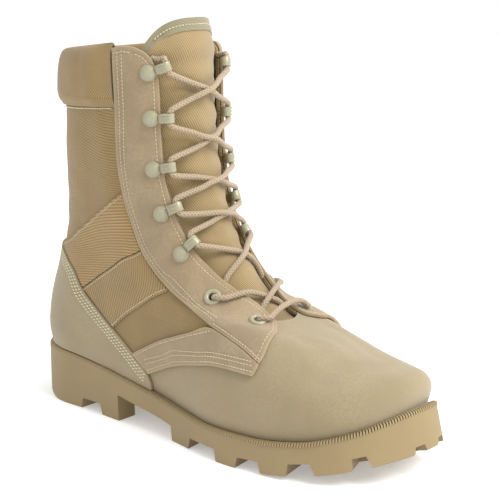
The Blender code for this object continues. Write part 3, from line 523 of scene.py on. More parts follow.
def new_piece(name, points, faces, lengths=None, rim=None):
    """Object from points in millimetres, with its pattern's two lengths as a UV map."""
    mesh = bpy.data.meshes.new(name)
    mesh.from_pydata([tuple(point) for point in place(points).reshape(-1, 3)], [], faces)
    if lengths is not None:
        layer = mesh.uv_layers.new(name="lengths")
        corner = np.zeros(len(mesh.loops), np.int32)
        mesh.loops.foreach_get("vertex_index", corner)
        pairs = np.stack(lengths, axis=-1).reshape(-1, 2)
        layer.data.foreach_set("uv", pairs.astype(np.float32)[corner].ravel())
    if rim is not None:
        layer = mesh.attributes.new("rim", "FLOAT", "POINT")
        layer.data.foreach_set("value", np.asarray(rim, np.float32).ravel())
    return add_object(name, mesh)


def grid_faces(rows, columns, closed=False, flip=False):
    """Four-sided faces over a grid of points, rows upwards and columns around."""
    faces = []
    width = columns if closed else columns + 1
    for row in range(rows):
        for column in range(columns):
            right = (column + 1) % width
            face = [row * width + column, row * width + right,
                    (row + 1) * width + right, (row + 1) * width + column]
            faces.append(face[::-1] if flip else face)
    return faces


def grid_lengths(points):
    """Distance across from the middle column, and upwards, over a grid of points."""
    across = np.zeros(points.shape[:2])
    across[:, 1:] = np.cumsum(np.linalg.norm(np.diff(points, axis=1), axis=2), axis=1)
    across -= across[:, across.shape[1] // 2][:, None]
    up = np.zeros(points.shape[:2])
    up[1:] = np.cumsum(np.linalg.norm(np.diff(points, axis=0), axis=2), axis=0)
    return across, up


def nearest(points, line):
    """Distance of each point to the nearest point of a line."""
    flat = points.reshape(-1, 3)
    found = np.full(len(flat), 1e9)
    for start in range(0, len(line), 64):
        away = np.linalg.norm(flat[:, None] - line[None, start:start + 64], axis=2).min(axis=1)
        found = np.minimum(found, away)
    return found.reshape(points.shape[:-1])


def panel(name, grid, out, thickness, finish, replaced=(), seams=(), inner=False):
    """Sheet of leather or cloth over the upper, its outer face out millimetres above it."""
    u = 1 - grid[..., 0] if inner else grid[..., 0]
    v = grid[..., 1]
    points = surface(u, v, out)
    sunk = np.zeros(u.shape)
    for line in seams:
        sunk += GROOVE * np.exp(-(nearest(points, line) / GROOVE_WIDTH) ** 2)
    points = surface(u, v, out - sunk)
    across, up = grid_lengths(points)
    edge = np.minimum(np.minimum(across - across[:, :1], across[:, -1:] - across),
                      np.minimum(up, up[-1:] - up))
    faces = grid_faces(u.shape[0] - 1, u.shape[1] - 1, flip=inner)
    piece = new_piece(name, points, faces, (across, up + points[:1, :, 2]), np.exp(-edge))
    thicken(piece, thickness * MM)
    round_edges(piece, min(0.55, thickness * 0.35) * MM, 2, 55)
    smooth_shade(piece)
    dress(piece, finish, replaced)


# Materials

def set_inputs(tree, node, inputs):
    """Give a node's inputs their values, or link them to sockets."""
    for name, value in inputs.items():
        if isinstance(value, bpy.types.NodeSocket):
            tree.links.new(value, node.inputs[name])
        else:
            node.inputs[name].default_value = value
    return node


def put(tree, kind, inputs=None, **settings):
    """Add a shader node; inputs are values or sockets to link."""
    made = tree.nodes.new("ShaderNode" + kind)
    for name, value in settings.items():
        setattr(made, name, value)
    return set_inputs(tree, made, inputs or {})


def noise(tree, vector, scale, detail, roughness=0.5, distortion=0.0):
    """Output of a noise texture."""
    return put(tree, "TexNoise", {"Vector": vector, "Scale": scale, "Detail": detail, "Roughness": roughness,
                                  "Distortion": distortion}).outputs[0]


def ranged(tree, value, low, high, at_low=0.0, at_high=1.0):
    """A value stretched from one range to another."""
    return put(tree, "MapRange", {"Value": value, "From Min": low, "From Max": high, "To Min": at_low,
                                  "To Max": at_high}).outputs[0]


def object_place(tree):
    return put(tree, "TexCoord").outputs["Object"]


def reckon(tree, operation, first, second=0.0, third=0.0):
    """Output of a Math node."""
    return put(tree, "Math", {0: first, 1: second, 2: third}, operation=operation).outputs[0]


def new_group(name, inputs, outputs):
    """Empty shader group with sockets for a vector and values, and its two end nodes."""
    tree = bpy.data.node_groups.new(name, "ShaderNodeTree")
    for label in inputs:
        kind = "NodeSocketVector" if label == "Vector" else "NodeSocketFloat"
        tree.interface.new_socket(label, in_out="INPUT", socket_type=kind)
    for label in outputs:
        tree.interface.new_socket(label, in_out="OUTPUT", socket_type="NodeSocketFloat")
    return tree, tree.nodes.new("NodeGroupInput"), tree.nodes.new("NodeGroupOutput")


def build_nap_group():
    """Short fibres of brushed leather: a height, and masks for patches and specks."""
    tree, enter, leave = new_group("nap", ("Vector", "Fibre", "Patch"), ("Height", "Mottle", "Speck"))
    vector = enter.outputs["Vector"]
    fibre = noise(tree, vector, enter.outputs["Fibre"], 3.0, 0.65)
    mottle = noise(tree, vector, enter.outputs["Patch"], 4.0, 0.55, 0.6)
    speck = noise(tree, vector, 700.0, 2.0, 0.6)
    set_inputs(tree, leave, {"Height": fibre, "Mottle": ranged(tree, mottle, 0.36, 0.64),
                             "Speck": ranged(tree, speck, 0.35, 0.65)})
    return tree


def build_weave_group():
    """Woven lines at an angle with the yarns that cross them, from lengths in millimetres."""
    tree, enter, leave = new_group("weave", ("Vector", "Pitch", "Angle", "Yarn"), ("Height",))
    vector = enter.outputs["Vector"]
    turned = put(tree, "VectorRotate", {"Vector": vector, "Angle": enter.outputs["Angle"]},
                 rotation_type="Z_AXIS")
    parts = put(tree, "SeparateXYZ", {"Vector": turned.outputs[0]})
    line_rate, yarn_rate = (reckon(tree, "DIVIDE", 2 * math.pi, enter.outputs[name])
                            for name in ("Pitch", "Yarn"))
    shift = reckon(tree, "MULTIPLY", noise(tree, vector, 0.12, 1.0), 2.0)
    lines = reckon(tree, "SINE", reckon(tree, "MULTIPLY_ADD", parts.outputs[0], line_rate, shift))
    stagger = reckon(tree, "MULTIPLY", lines, 1.2)
    yarns = reckon(tree, "SINE", reckon(tree, "MULTIPLY_ADD", parts.outputs[1], yarn_rate, stagger))
    height = reckon(tree, "MULTIPLY_ADD", yarns, 0.22, lines)
    tree.links.new(reckon(tree, "MULTIPLY_ADD", height, 0.41, 0.5), leave.inputs["Height"])
    return tree


def mixed(tree, share, first, second):
    """Colour between two colours or sockets."""
    return set_inputs(tree, put(tree, "Mix", data_type="RGBA"), {0: share, 6: first, 7: second}).outputs[2]


def new_material(name, roughness, sheen=0.0, coat=0.0):
    material = bpy.data.materials.new(name)
    material.use_nodes = True
    tree = material.node_tree
    shader = tree.nodes["Principled BSDF"]
    set_inputs(tree, shader, {"Roughness": roughness, "Sheen Weight": sheen, "Sheen Roughness": 0.6,
                              "Coat Weight": coat})
    finishes[name] = material
    return tree, shader


def finish_shader(tree, shader, colour, height=None, strength=0.0, distance=0.0003):
    """Link a material's colour, and its grain as bump."""
    tree.links.new(colour, shader.inputs["Base Color"])
    if height is not None:
        node = put(tree, "Bump", {"Height": height, "Strength": strength, "Distance": distance})
        tree.links.new(node.outputs[0], shader.inputs["Normal"])


def use_group(tree, group, inputs):
    node = tree.nodes.new("ShaderNodeGroup")
    node.node_tree = group
    return set_inputs(tree, node, inputs)


def leather_finish(name, nap_group, light, dark, pink, edge, fibre, patch_scale, strength, pink_share):
    """Brushed leather with pinkish patches, fine specks and a paler raw edge."""
    tree, shader = new_material(name, 0.92, sheen=0.25)
    where = object_place(tree)
    nap = use_group(tree, nap_group, {"Vector": where, "Fibre": fibre, "Patch": patch_scale})
    pinkish = ranged(tree, noise(tree, where, 16.0, 2.0), 0.50, 0.66, 0.0, pink_share)
    colour = mixed(tree, nap.outputs["Mottle"], light, dark)
    colour = mixed(tree, pinkish, colour, pink)
    colour = mixed(tree, reckon(tree, "MULTIPLY", nap.outputs["Speck"], 0.8), colour, dark)
    rim = put(tree, "Attribute", attribute_name="rim")
    colour = mixed(tree, reckon(tree, "MULTIPLY", rim.outputs["Fac"], 0.75), colour, edge)
    finish_shader(tree, shader, colour, nap.outputs["Height"], strength, 0.0004)


def cloth_finish(name, weave_group, light, dark, pitch, angle, yarn, strength, trough_shade=1.0):
    """Woven cloth: lines of the weave from the piece's own lengths, with painted shade in the weave's
    troughs.
    """
    tree, shader = new_material(name, 0.88, sheen=0.2)
    lengths = put(tree, "UVMap", uv_map="lengths").outputs[0]
    weave = use_group(tree, weave_group, {"Vector": lengths, "Pitch": pitch, "Angle": angle, "Yarn": yarn})
    wear = noise(tree, object_place(tree), 60.0, 5.0, 0.6)
    height = weave.outputs["Height"]
    # Low parts of the weave are mixed towards the dark colour: painted shade in the troughs of the weave.
    colour = mixed(tree, ranged(tree, height, 0.15, 0.75, trough_shade, 0.0), light, dark)
    colour = mixed(tree, ranged(tree, wear, 0.35, 0.7, 0.0, 0.35), colour, dark)
    finish_shader(tree, shader, colour, height, strength)


def rubber_finish():
    tree, shader = new_material("rubber", 0.62)
    where = object_place(tree)
    colour = mixed(tree, noise(tree, where, 30.0, 5.0, 0.6), srgb(144, 126, 89), srgb(127, 108, 74))
    # Where the rim attribute is set, as on the lip's ribs, the rubber is mixed towards a paler colour: a
    # painted highlight that lifts the ribs against their shaded gaps.
    rim = put(tree, "Attribute", attribute_name="rim")
    colour = mixed(tree, rim.outputs["Fac"], colour, srgb(160, 144, 108))
    finish_shader(tree, shader, colour, noise(tree, where, 900.0, 3.0), 0.12)


def paint_finish():
    tree, shader = new_material("paint", 0.32, coat=0.35)
    cloud = noise(tree, object_place(tree), 220.0, 3.0)
    colour = mixed(tree, cloud, srgb(151, 146, 121), srgb(137, 132, 106))
    finish_shader(tree, shader, colour, cloud, 0.05)


def cord_finish():
    """Round braid: strands that cross each other round the cord, with painted shade where they dip."""
    tree, shader = new_material("braid", 0.9, sheen=0.2)
    lengths = put(tree, "UVMap", uv_map="lengths").outputs[0]
    parts = put(tree, "SeparateXYZ", {"Vector": lengths})
    run = reckon(tree, "MULTIPLY", parts.outputs[0], 2 * math.pi / 2.2)
    turn = reckon(tree, "MULTIPLY", parts.outputs[1], 2 * math.pi * 4)
    right, left = (reckon(tree, "SINE", reckon(tree, way, run, turn)) for way in ("ADD", "SUBTRACT"))
    height = reckon(tree, "MAXIMUM", right, left)
    # The braid's low parts are mixed towards the darker colour: painted shade between the strands.
    colour = mixed(tree, ranged(tree, height, -0.2, 0.8, 0.6, 0.0), srgb(162, 143, 116), srgb(130, 111, 86))
    finish_shader(tree, shader, colour, height, 0.7, 0.0004)


def thread_finish(name, light, dark):
    tree, shader = new_material(name, 0.75, sheen=0.2)
    finish_shader(tree, shader, mixed(tree, noise(tree, object_place(tree), 900.0, 2.0), light, dark))


def footbed_finish():
    tree, shader = new_material("footbed", 0.9)
    cells = put(tree, "TexVoronoi", {"Vector": object_place(tree), "Scale": 500.0}).outputs["Distance"]
    finish_shader(tree, shader, mixed(tree, cells, srgb(58, 52, 44), srgb(92, 82, 66)), cells, 0.3, 0.0004)


def build_finishes():
    nap = build_nap_group()
    weave = build_weave_group()
    leather_finish("nubuck", nap, srgb(143, 129, 98), srgb(132, 118, 87), srgb(143, 120, 92),
                   srgb(148, 133, 103), 1000.0, 30.0, 0.5, 0.4)
    leather_finish("suede", nap, srgb(149, 130, 99), srgb(131, 113, 85), srgb(150, 123, 93),
                   srgb(154, 133, 101), 800.0, 60.0, 0.8, 0.45)
    # The last column sets how strongly each cloth's weave troughs are painted with shade.
    for name, light, dark, pitch, angle, yarn, strength, trough_shade in (
            ("shaft_cloth", (141, 117, 70), (113, 91, 51), 1.3, 0.7, 0.9, 0.5, 1.0),
            ("coarse_cloth", (149, 124, 76), (111, 89, 50), 1.3, 0.7, 1.0, 0.6, 1.0),
            ("tongue_cloth", (153, 132, 90), (111, 90, 55), 1.35, 2.72, 0.9, 0.6, 0.75),
            ("webbing", (159, 132, 82), (121, 94, 53), 2.1, math.pi / 2, 0.9, 0.9, 1.0),
            ("tape", (140, 132, 104), (104, 98, 75), 0.9, math.pi / 2, 0.8, 0.4, 1.0),
            ("lining", (122, 100, 60), (84, 67, 37), 1.0, 0.8, 0.7, 0.4, 1.0)):
        cloth_finish(name, weave, srgb(*light), srgb(*dark), pitch, angle, yarn, strength, trough_shade)
    rubber_finish()
    paint_finish()
    cord_finish()
    thread_finish("thread", srgb(206, 192, 162), srgb(140, 124, 96))
    thread_finish("pale_thread", srgb(226, 222, 190), srgb(170, 166, 130))
    footbed_finish()


# Stitches, panels and lining

def stitch_shape(radius, length):
    """Rings of one stitch: rises out of the sheet, runs along it and dives back in."""
    stations = ((-0.50, -0.9), (-0.34, 0.25), (0.0, 0.55), (0.34, 0.25), (0.50, -0.9))
    sides = 5
    turns = [2 * math.pi * k / sides for k in range(sides)]
    points = [(at * length, radius * math.cos(turn), radius * (lift + math.sin(turn)))
              for at, lift in stations for turn in turns]
    faces = grid_faces(len(stations) - 1, sides, closed=True)
    faces.append(list(range(sides))[::-1])
    faces.append([(len(stations) - 1) * sides + k for k in range(sides)])
    return np.array(points), faces


def sew(name, rows, pitch, finish, radius=0.42, slant=0.0):
    """Stitches at an even pitch along lines of points with their outward directions."""
    shape, shape_faces = stitch_shape(radius, pitch * 0.78)
    points, faces = [], []
    for line, outward in rows:
        distance = run_lengths(line)
        for at in np.arange(pitch / 2, distance[-1] - pitch / 2, pitch):
            middle = read_line(at, distance, line)
            x_axis = read_line(at + 0.6, distance, line) - middle
            z_axis = read_line(at, distance, outward)
            z_axis = unit(z_axis - x_axis * (z_axis @ x_axis) / (x_axis @ x_axis))
            x_axis = unit(x_axis)
            x_axis = x_axis * math.cos(slant) + np.cross(z_axis, x_axis) * math.sin(slant)
            start = len(points)
            points.extend(middle + shape @ np.array([x_axis, np.cross(z_axis, x_axis), z_axis]))
            faces.extend([start + index for index in face] for face in shape_faces)
    piece = new_piece(name, points, faces)
    smooth_shade(piece)
    dress(piece, finish)


def seam_line(line, distance, out, inner):
    """Points and outward directions of a seam at a distance from an edge line."""
    u, v = shifted(line, distance)
    u = 1 - u if inner else u
    return surface(u, v, out), upper_normal(u, v)


def strip_grid(edge, rows, share):
    """Grid of (u, v) points: in each row u runs with share to the row's own edge."""
    return np.stack([edge[:, None] * share[None], np.broadcast_to(rows[:, None], (len(rows), len(share)))],
                    axis=-1)


def build_vamp_and_shaft():
    """The vamp's leather, the shaft's cloth and the lining inside both."""
    rows = np.linspace(0, THROAT_BASE, 62)
    grid = strip_grid(0.5 - smooth(rows, VAMP_REAR), rows, np.linspace(-1, 1, 301))
    grid[..., 0] += 0.5
    panel("vamp", grid, 0.0, SHELL, "nubuck", ["upper"])
    rows = np.linspace(0.05, 1.0, 120)
    edge = np.where(rows < THROAT_BASE, smooth(rows, VAMP_REAR) - 0.004, throat_edge(rows))
    pale = [seam_line(COLLAR_SEAM, 0.0, 0.0, inner) for inner in (False, True)]
    panel("shaft", strip_grid(edge, rows, np.linspace(-1, 1, 181)), 0.0, SHELL, "shaft_cloth",
          ["upper"], [line for line, _ in pale])
    sew("collar_stitches", pale, 2.2, "pale_thread")
    foot, shaft = np.linspace(0, THROAT_BASE, 34), np.linspace(THROAT_BASE, 1.0, 50)
    for name, rows, edge in (("lining_foot", foot, np.full(34, 0.5)),
                             ("lining_shaft", shaft, throat_edge(shaft))):
        grid = strip_grid(edge, rows, np.linspace(-1, 1, 141))
        panel(name, grid, -LINING_DEPTH, LINING, "lining")


def plan_stitches():
    """Lines of the seams on each panel's two sides, and the rows to sew by thread."""
    seams, threads = {}, {}
    for part, line, distances, pitch, thread in STITCH_ROWS:
        _, _, thick, seat = PANELS[part]
        round_heel = part == "counter"
        for inner in (False, True):
            for distance in distances:
                row = seam_line(line, distance, seat + thick - 0.25, inner)
                for side in ((False, True) if round_heel else (inner,)):
                    seams.setdefault((part, side), []).append(row[0])
                threads.setdefault((thread, pitch, round_heel), []).append(row)
    return seams, threads


def build_counter(seams):
    """Leather round the heel, from one side to the other."""
    half = np.append(np.linspace(0, COUNTER_TOP[-1][0], 62), COUNTER_SIDE)
    u = np.concatenate([-half[:0:-1], half])
    top = smooth(np.abs(u), COUNTER_TOP + ((COUNTER_SIDE, 0.030),)) - 0.003
    share = np.linspace(0, 1, 56)[:, None]
    grid = np.stack([np.broadcast_to(u, (56, len(u))), 0.004 + (top - 0.004)[None] * share], axis=-1)
    finish, slot, thick, seat = PANELS["counter"]
    panel("counter", grid, seat + thick, thick, finish, ["heel_counter"], seams)


def build_panels():
    """Counter, webbing, band, quarter and facing with their seams and stitches."""
    seams, threads = plan_stitches()
    build_counter(seams[("counter", False)])
    for part, node, bottom, top, rear, front, columns, rows in PANEL_EDGES:
        finish, slot, thick, seat = PANELS[part]
        for inner, side in SIDES:
            grid = patch(bottom, top, rear, front, columns, rows)
            panel(f"{part}_sheet_{side}", grid, seat + thick, thick, finish, [f"{node}_{side}"],
                  seams[(part, inner)], inner)
    for number, ((thread, pitch, slanted), rows) in enumerate(threads.items(), start=1):
        sew(f"stitches_{number}", rows, pitch, thread, 0.36, 0.5 if slanted else 0.0)


# Collar and tongue

def closed_spline(points, count):
    """Evenly spread points of a smooth closed line through the given ones."""
    points = np.array(points, float)
    before, after, beyond = (np.roll(points, shift, axis=0) for shift in (1, -1, -2))
    shares = np.linspace(0, 1, count // len(points), endpoint=False)
    made = [between(before, points, after, beyond, q) for q in shares]
    return np.stack(made, axis=1).reshape(-1, points.shape[1])


def build_cuff():
    """Padded collar over the top edge, from facing to facing round the back."""
    u = np.linspace(-CUFF_END, CUFF_END, 121)
    stretch = np.array([1.0, 100.0])
    ring = closed_spline(np.array(CUFF_SECTION) * stretch, 56) / stretch
    out, v = ring[:, 0][None], ring[:, 1][None]
    lift = 0.020 * np.minimum(1.0, np.abs(u) / CUFF_END)[:, None] * ((v < 0.87) & (out > 0))
    flat = 1 - 0.5 * ease((np.abs(u) - 0.24) / (CUFF_END - 0.24))[:, None] * (out > 1)
    soft = 0.35 * np.sin(u * 60)[:, None] * ease(out / 4.0)
    points = upper_point(np.broadcast_to(u[:, None], lift.shape), v + lift, out * flat + soft)
    count = points.shape[1]
    across, up = grid_lengths(points)
    faces = grid_faces(len(u) - 1, count, closed=True, flip=True)
    faces.append(list(range(count)))
    faces.append([(len(u) - 1) * count + j for j in reversed(range(count))])
    cuff = new_piece("collar_pad", points, faces, (up, across))
    smooth_shade(cuff)
    dress(cuff, "coarse_cloth", ["cuff"])


def tongue_shape(across, v):
    """Place and height of the tongue: across is -1 and 1 at its edges under the facings."""
    edge = throat_edge(np.minimum(v, 0.92))
    reach = 0.5 - edge + TONGUE_HIDDEN
    u = 0.5 + across * reach
    inside = np.clip(np.abs(across) * reach / (reach - TONGUE_HIDDEN), 0, 1)
    bulge = 3.6 * ease((v - 0.42) / 0.10)
    root = 0.8 * (1 - ease((v - 0.41) / 0.04))
    lean = 5.0 * ease((v - 0.93) / 0.17)
    out = -(UPPER_WALL + 0.45 + root + lean) + bulge * (1 - inside ** 2) ** 1.5
    return u, out


def lace_dents(u, v):
    """How deep the crossings of the lace press into the tongue."""
    depth = np.zeros(u.shape)
    for (u1, v1), (u2, v2) in zip(HOOKS, HOOKS[1:]):
        for mirror in (False, True):
            start = np.array([1 - u1 if mirror else u1, v1])
            end = np.array([u2 if mirror else 1 - u2, v2])
            line = (end - start) * np.array([AROUND * 0.75, UPWARDS])
            x = (u - start[0]) * AROUND * 0.75
            y = (v - start[1]) * UPWARDS
            depth = np.maximum(depth, 1.5 * np.exp(-(off_line(x, y, line) / 4.0) ** 2))
    fold = (v - 0.955 + 0.6 * (u - 0.5) ** 2) * UPWARDS
    return depth + 1.3 * np.exp(-(fold / 4.5) ** 2) - 0.9 * np.exp(-((fold - 9) / 7) ** 2)


def build_tongue():
    """Padded tongue that swells between the crossings, and the tape round its top."""
    across = np.linspace(-1, 1, 81)
    tape, overlap, foot = 0.030, 0.010, 0.335
    top = 1.081 - 0.080 * np.abs(across) ** 3.2
    tape_low = top - tape
    for name, node, finish, slot, rows, grow in (
            ("tongue_pad", "tongue", "tongue_cloth", "shaft_cloth", 170, 0.0),
            ("tongue_tape", "tongue_binding", "tape", "binding_tape", 14, 0.8)):
        rise = np.linspace(0, 1, rows)[:, None]
        if name == "tongue_pad":
            v = foot + (tape_low - foot)[None] * rise
        else:
            v = (tape_low - overlap)[None] + (tape + overlap) * rise
        u, out = tongue_shape(np.broadcast_to(across, v.shape), v)
        out = out + grow * ease((0.72 - np.abs(across)) / 0.2)[None] - lace_dents(u, v)
        points = upper_point(u, v, out)
        side, up = grid_lengths(points)
        edge = np.minimum(up[-1:] - up, up)
        piece = new_piece(name, points, grid_faces(rows - 1, 80), (side, up), np.exp(-edge / 1.5))
        thicken(piece, (4.5 + 2 * grow) * MM)
        round_edges(piece, 1.1 * MM, 3, 60)
        smooth_shade(piece)
        dress(piece, finish, [node])
    seam = top - 0.022
    u, out = tongue_shape(across, seam)
    spots = upper_point(u, seam, out + 0.8 - lace_dents(u, seam))
    sew("tape_stitches", [(spots[8:-8], upper_normal(u, seam)[8:-8])], 2.2, "thread")


# Sole and footbed

def sole_outline(count, grow):
    """Points round the sole's planform, grow millimetres outside its outline."""
    turn = 2 * math.pi * np.arange(count) / count
    t = (1 - np.cos(turn)) / 2
    side = np.where(np.sin(turn) >= 0, -1.0, 1.0)
    x = SOLE_LENGTH * t
    width = half_width(t, SOLE_PLAN)
    return x - np.cos(turn) * grow, side * (width + grow * np.abs(np.sin(turn))) + smooth(x, SWING), x


def sole_bottom(x):
    """Height of the tread: flat, then the toe spring."""
    ahead = np.clip((x / SOLE_LENGTH - SPRING_FROM) / (1 - SPRING_FROM), 0, None)
    return TOE_SPRING * ahead ** 2


def cap_faces(count, start, up):
    """Strips across the outline between points that face each other."""
    faces = []
    for i in range(count // 2):
        left = [start + i, start + i + 1]
        right = [start + (count - i - 1) % count, start + (count - i) % count]
        face = list(dict.fromkeys([left[0], left[1], right[0], right[1]]))
        faces.append(face if up else face[::-1])
    return faces


def tapered_block(x, y, turn, length, wide, narrow, depth, slope):
    """Cutting block for a channel: wide at the floor, narrow at its roof."""
    bpy.ops.mesh.primitive_cube_add(size=1.0, location=(0, 0, 0))
    block = bpy.context.object
    for vert in block.data.vertices:
        top = vert.co.z > 0
        share = narrow / wide if top else 1 - BELOW_FLOOR * (1 - narrow / wide) / depth
        vert.co.x *= wide * share
        vert.co.y *= length
        vert.co.z = depth if top else BELOW_FLOOR
    spin = Matrix.Rotation(math.radians(turn), 4, "Z")
    tilt = Matrix.Rotation(-slope, 4, "Y")
    ground = Vector((x - HEEL_CENTRE, y, float(sole_bottom(x))))
    block.data.transform(Matrix.Scale(MM, 4) @ Matrix.Translation(ground) @ tilt @ spin)
    return block


def profile_block(outline, half):
    """Cutting block with an outline in x and z, across the sole."""
    points = [(x, y, z) for y in (-half, half) for x, z in outline]
    count = len(outline)
    faces = [list(range(count)), [count + k for k in reversed(range(count))]]
    faces += [[k, (k + 1) % count, count + (k + 1) % count, count + k][::-1] for k in range(count)]
    block = new_piece("block", points, faces)
    tidy_mesh(block)
    return block


def carve(piece, block):
    apply_modifier(piece, "BOOLEAN", operation="DIFFERENCE", object=block, solver="EXACT")
    bpy.data.objects.remove(block)


def closed_rings(name, levels):
    """Solid from rings of points, one above the other, closed below and above."""
    count = len(levels[0])
    faces = grid_faces(len(levels) - 1, count, closed=True)
    faces += cap_faces(count, 0, up=False)
    faces += cap_faces(count, (len(levels) - 1) * count, up=True)
    return new_piece(name, levels, faces)


def build_sole():
    """Outsole with its rounded lip, channels, arch and heel recess."""
    count = 320
    levels = []
    _, _, x = sole_outline(count, 0.0)
    flare = smooth(x, SOLE_FLARE)
    bevel = smooth(x, HEEL_BEVEL)
    low = sole_bottom(x) + 1.2 * bevel
    high = smooth(x, SOLE_TOP) - SOLE_LIP[0][0]
    rows = [(flare - bevel, sole_bottom(x)), (flare, low)]
    rows += [(flare * (1 - share), low + (high - low) * share) for share in (0.35, 0.7)]
    for grow, z in rows:
        level_x, level_y, _ = sole_outline(count, grow)
        levels.append(np.stack([level_x, level_y, z], axis=-1))
    for below, inward in SOLE_LIP:
        level_x, level_y, _ = sole_outline(count, -inward)
        levels.append(np.stack([level_x, level_y, smooth(level_x, SOLE_TOP) - below], axis=-1))
    sole = closed_rings("rubber_sole", levels)
    (heel_x, heel_z), (ball_x, ball_z) = ARCH
    start, end, half = HEEL_RECESS
    depth = SIDE_CHANNELS[0][-1]
    arch = [(heel_x, BELOW_FLOOR), (heel_x, heel_z), (ball_x, ball_z), (ball_x + 2.5, BELOW_FLOOR)]
    recess = [(start, BELOW_FLOOR), (start, depth), (end, depth + 1.8), (end, BELOW_FLOOR)]
    blocks = [profile_block(arch, 80.0), profile_block(recess, half)]
    channels = SIDE_CHANNELS + (LONG_CHANNEL,)
    channels += tuple((at,) + MIDDLE_CHANNEL for at in MIDDLE_CHANNELS_AT)
    for at, y, turn, length, wide, narrow, deep in channels:
        slope = math.atan2(float(sole_bottom(at + 3) - sole_bottom(at - 3)), 6.0)
        for way in (-1, 1):
            middle = way * y + float(smooth(at, SWING))
            blocks.append(tapered_block(at, middle, way * turn, length, wide, narrow, deep, slope))
    for block in blocks:
        carve(sole, block)
    smooth_shade(sole, 30)
    dress(sole, "rubber", ["outsole"])


def build_ribs():
    """Fine ribs round the lip of the sole, from the arch round the toe."""
    points, faces = [], []
    rim_x, rim_y, _ = sole_outline(320, 0.0)
    rim = np.stack([rim_x, rim_y, smooth(rim_x, SOLE_TOP)], axis=-1)
    closed = np.concatenate([rim, rim[:1]])
    distance = run_lengths(closed)
    corners = len(RIB_SECTION)
    for at in np.arange(0, distance[-1], RIB_PITCH):
        spot = read_line(at, distance, closed)
        if spot[0] < RIBS_FROM:
            continue
        run = unit(read_line((at + 0.5) % distance[-1], distance, closed) - spot)
        inward = unit(np.cross([0, 0, 1], run))
        start = len(points)
        for step in (-RIB_HALF, RIB_HALF):
            points.extend(spot + run * step + inward * away + np.array([0, 0, down])
                          for away, down in RIB_SECTION)
        near = [start + k for k in range(corners)]
        far = [start + corners + k for k in range(corners)]
        faces.extend((near, far[::-1]))
        faces.extend([near[k - 1], far[k - 1], far[k], near[k]] for k in range(corners))
    # A rim of 0.35 paints the ribs paler than the sole: painted highlight on the ribs.
    ribs = new_piece("lip_ribs", points, faces, rim=np.full(len(points), 0.35))
    tidy_mesh(ribs)
    dress(ribs, "rubber")


def build_footbed():
    """Footbed inside the upper, dished a little at the heel and the ball."""
    count = 96
    u = np.arange(count) / count
    rim = upper_point(u, np.zeros(count), np.full(count, -(UPPER_WALL + 0.9)))
    middle = 150.0
    levels = []
    for shrink, shorten, height in ((1.0, 1.0, 0.3), (1.0, 1.0, 3.4), (0.985, 0.985, 4.3), (0.8, 0.9, 3.6),
                                    (0.5, 0.6, 3.0), (0.15, 0.25, 2.8)):
        ring = rim.copy()
        ring[:, 1] = smooth(ring[:, 0], SWING) + (ring[:, 1] - smooth(ring[:, 0], SWING)) * shrink
        ring[:, 0] = middle + (ring[:, 0] - middle) * shorten
        ring[:, 2] = smooth(ring[:, 0], SOLE_TOP) + height
        levels.append(ring)
    bed = closed_rings("footbed_pad", levels)
    smooth_shade(bed, 50)
    dress(bed, "footbed", ["insole"])


# Hooks and eyelets

def surface_frame(u, v, out, inner_side):
    """Matrix of a fitting on the facing: X to the throat, Y along its edge, Z outwards."""
    step = 0.01
    edge_high = upper_point(throat_edge(v + step), v + step)
    edge_low = upper_point(throat_edge(v - step), v - step)
    centre = upper_point(u, v, out)
    z_axis = Vector(upper_normal(np.float64(u), np.float64(v)))
    x_axis = Vector(edge_high - edge_low).cross(z_axis).normalized()
    y_axis = z_axis.cross(x_axis)
    matrix = Matrix((x_axis, y_axis, z_axis)).transposed().to_4x4()
    matrix.translation = Vector(place(centre))
    if inner_side:
        mirror = Matrix.Scale(-1, 4, Vector((0, 1, 0)))
        shift = 2 * MM * float(swing(centre[0], v))
        matrix = Matrix.Translation((0, shift, 0)) @ mirror @ matrix @ mirror
    return matrix


def select_faces(chosen):
    """Select the faces of the mesh in edit mode whose normal and centre fit."""
    bpy.ops.object.mode_set(mode="EDIT")
    bpy.ops.mesh.select_mode(type="FACE")
    bpy.ops.mesh.select_all(action="DESELECT")
    shape = bmesh.from_edit_mesh(bpy.context.object.data)
    for face in shape.faces:
        face.select_set(bool(chosen(face.normal, face.calc_center_median())))
    bmesh.update_edit_mesh(bpy.context.object.data)


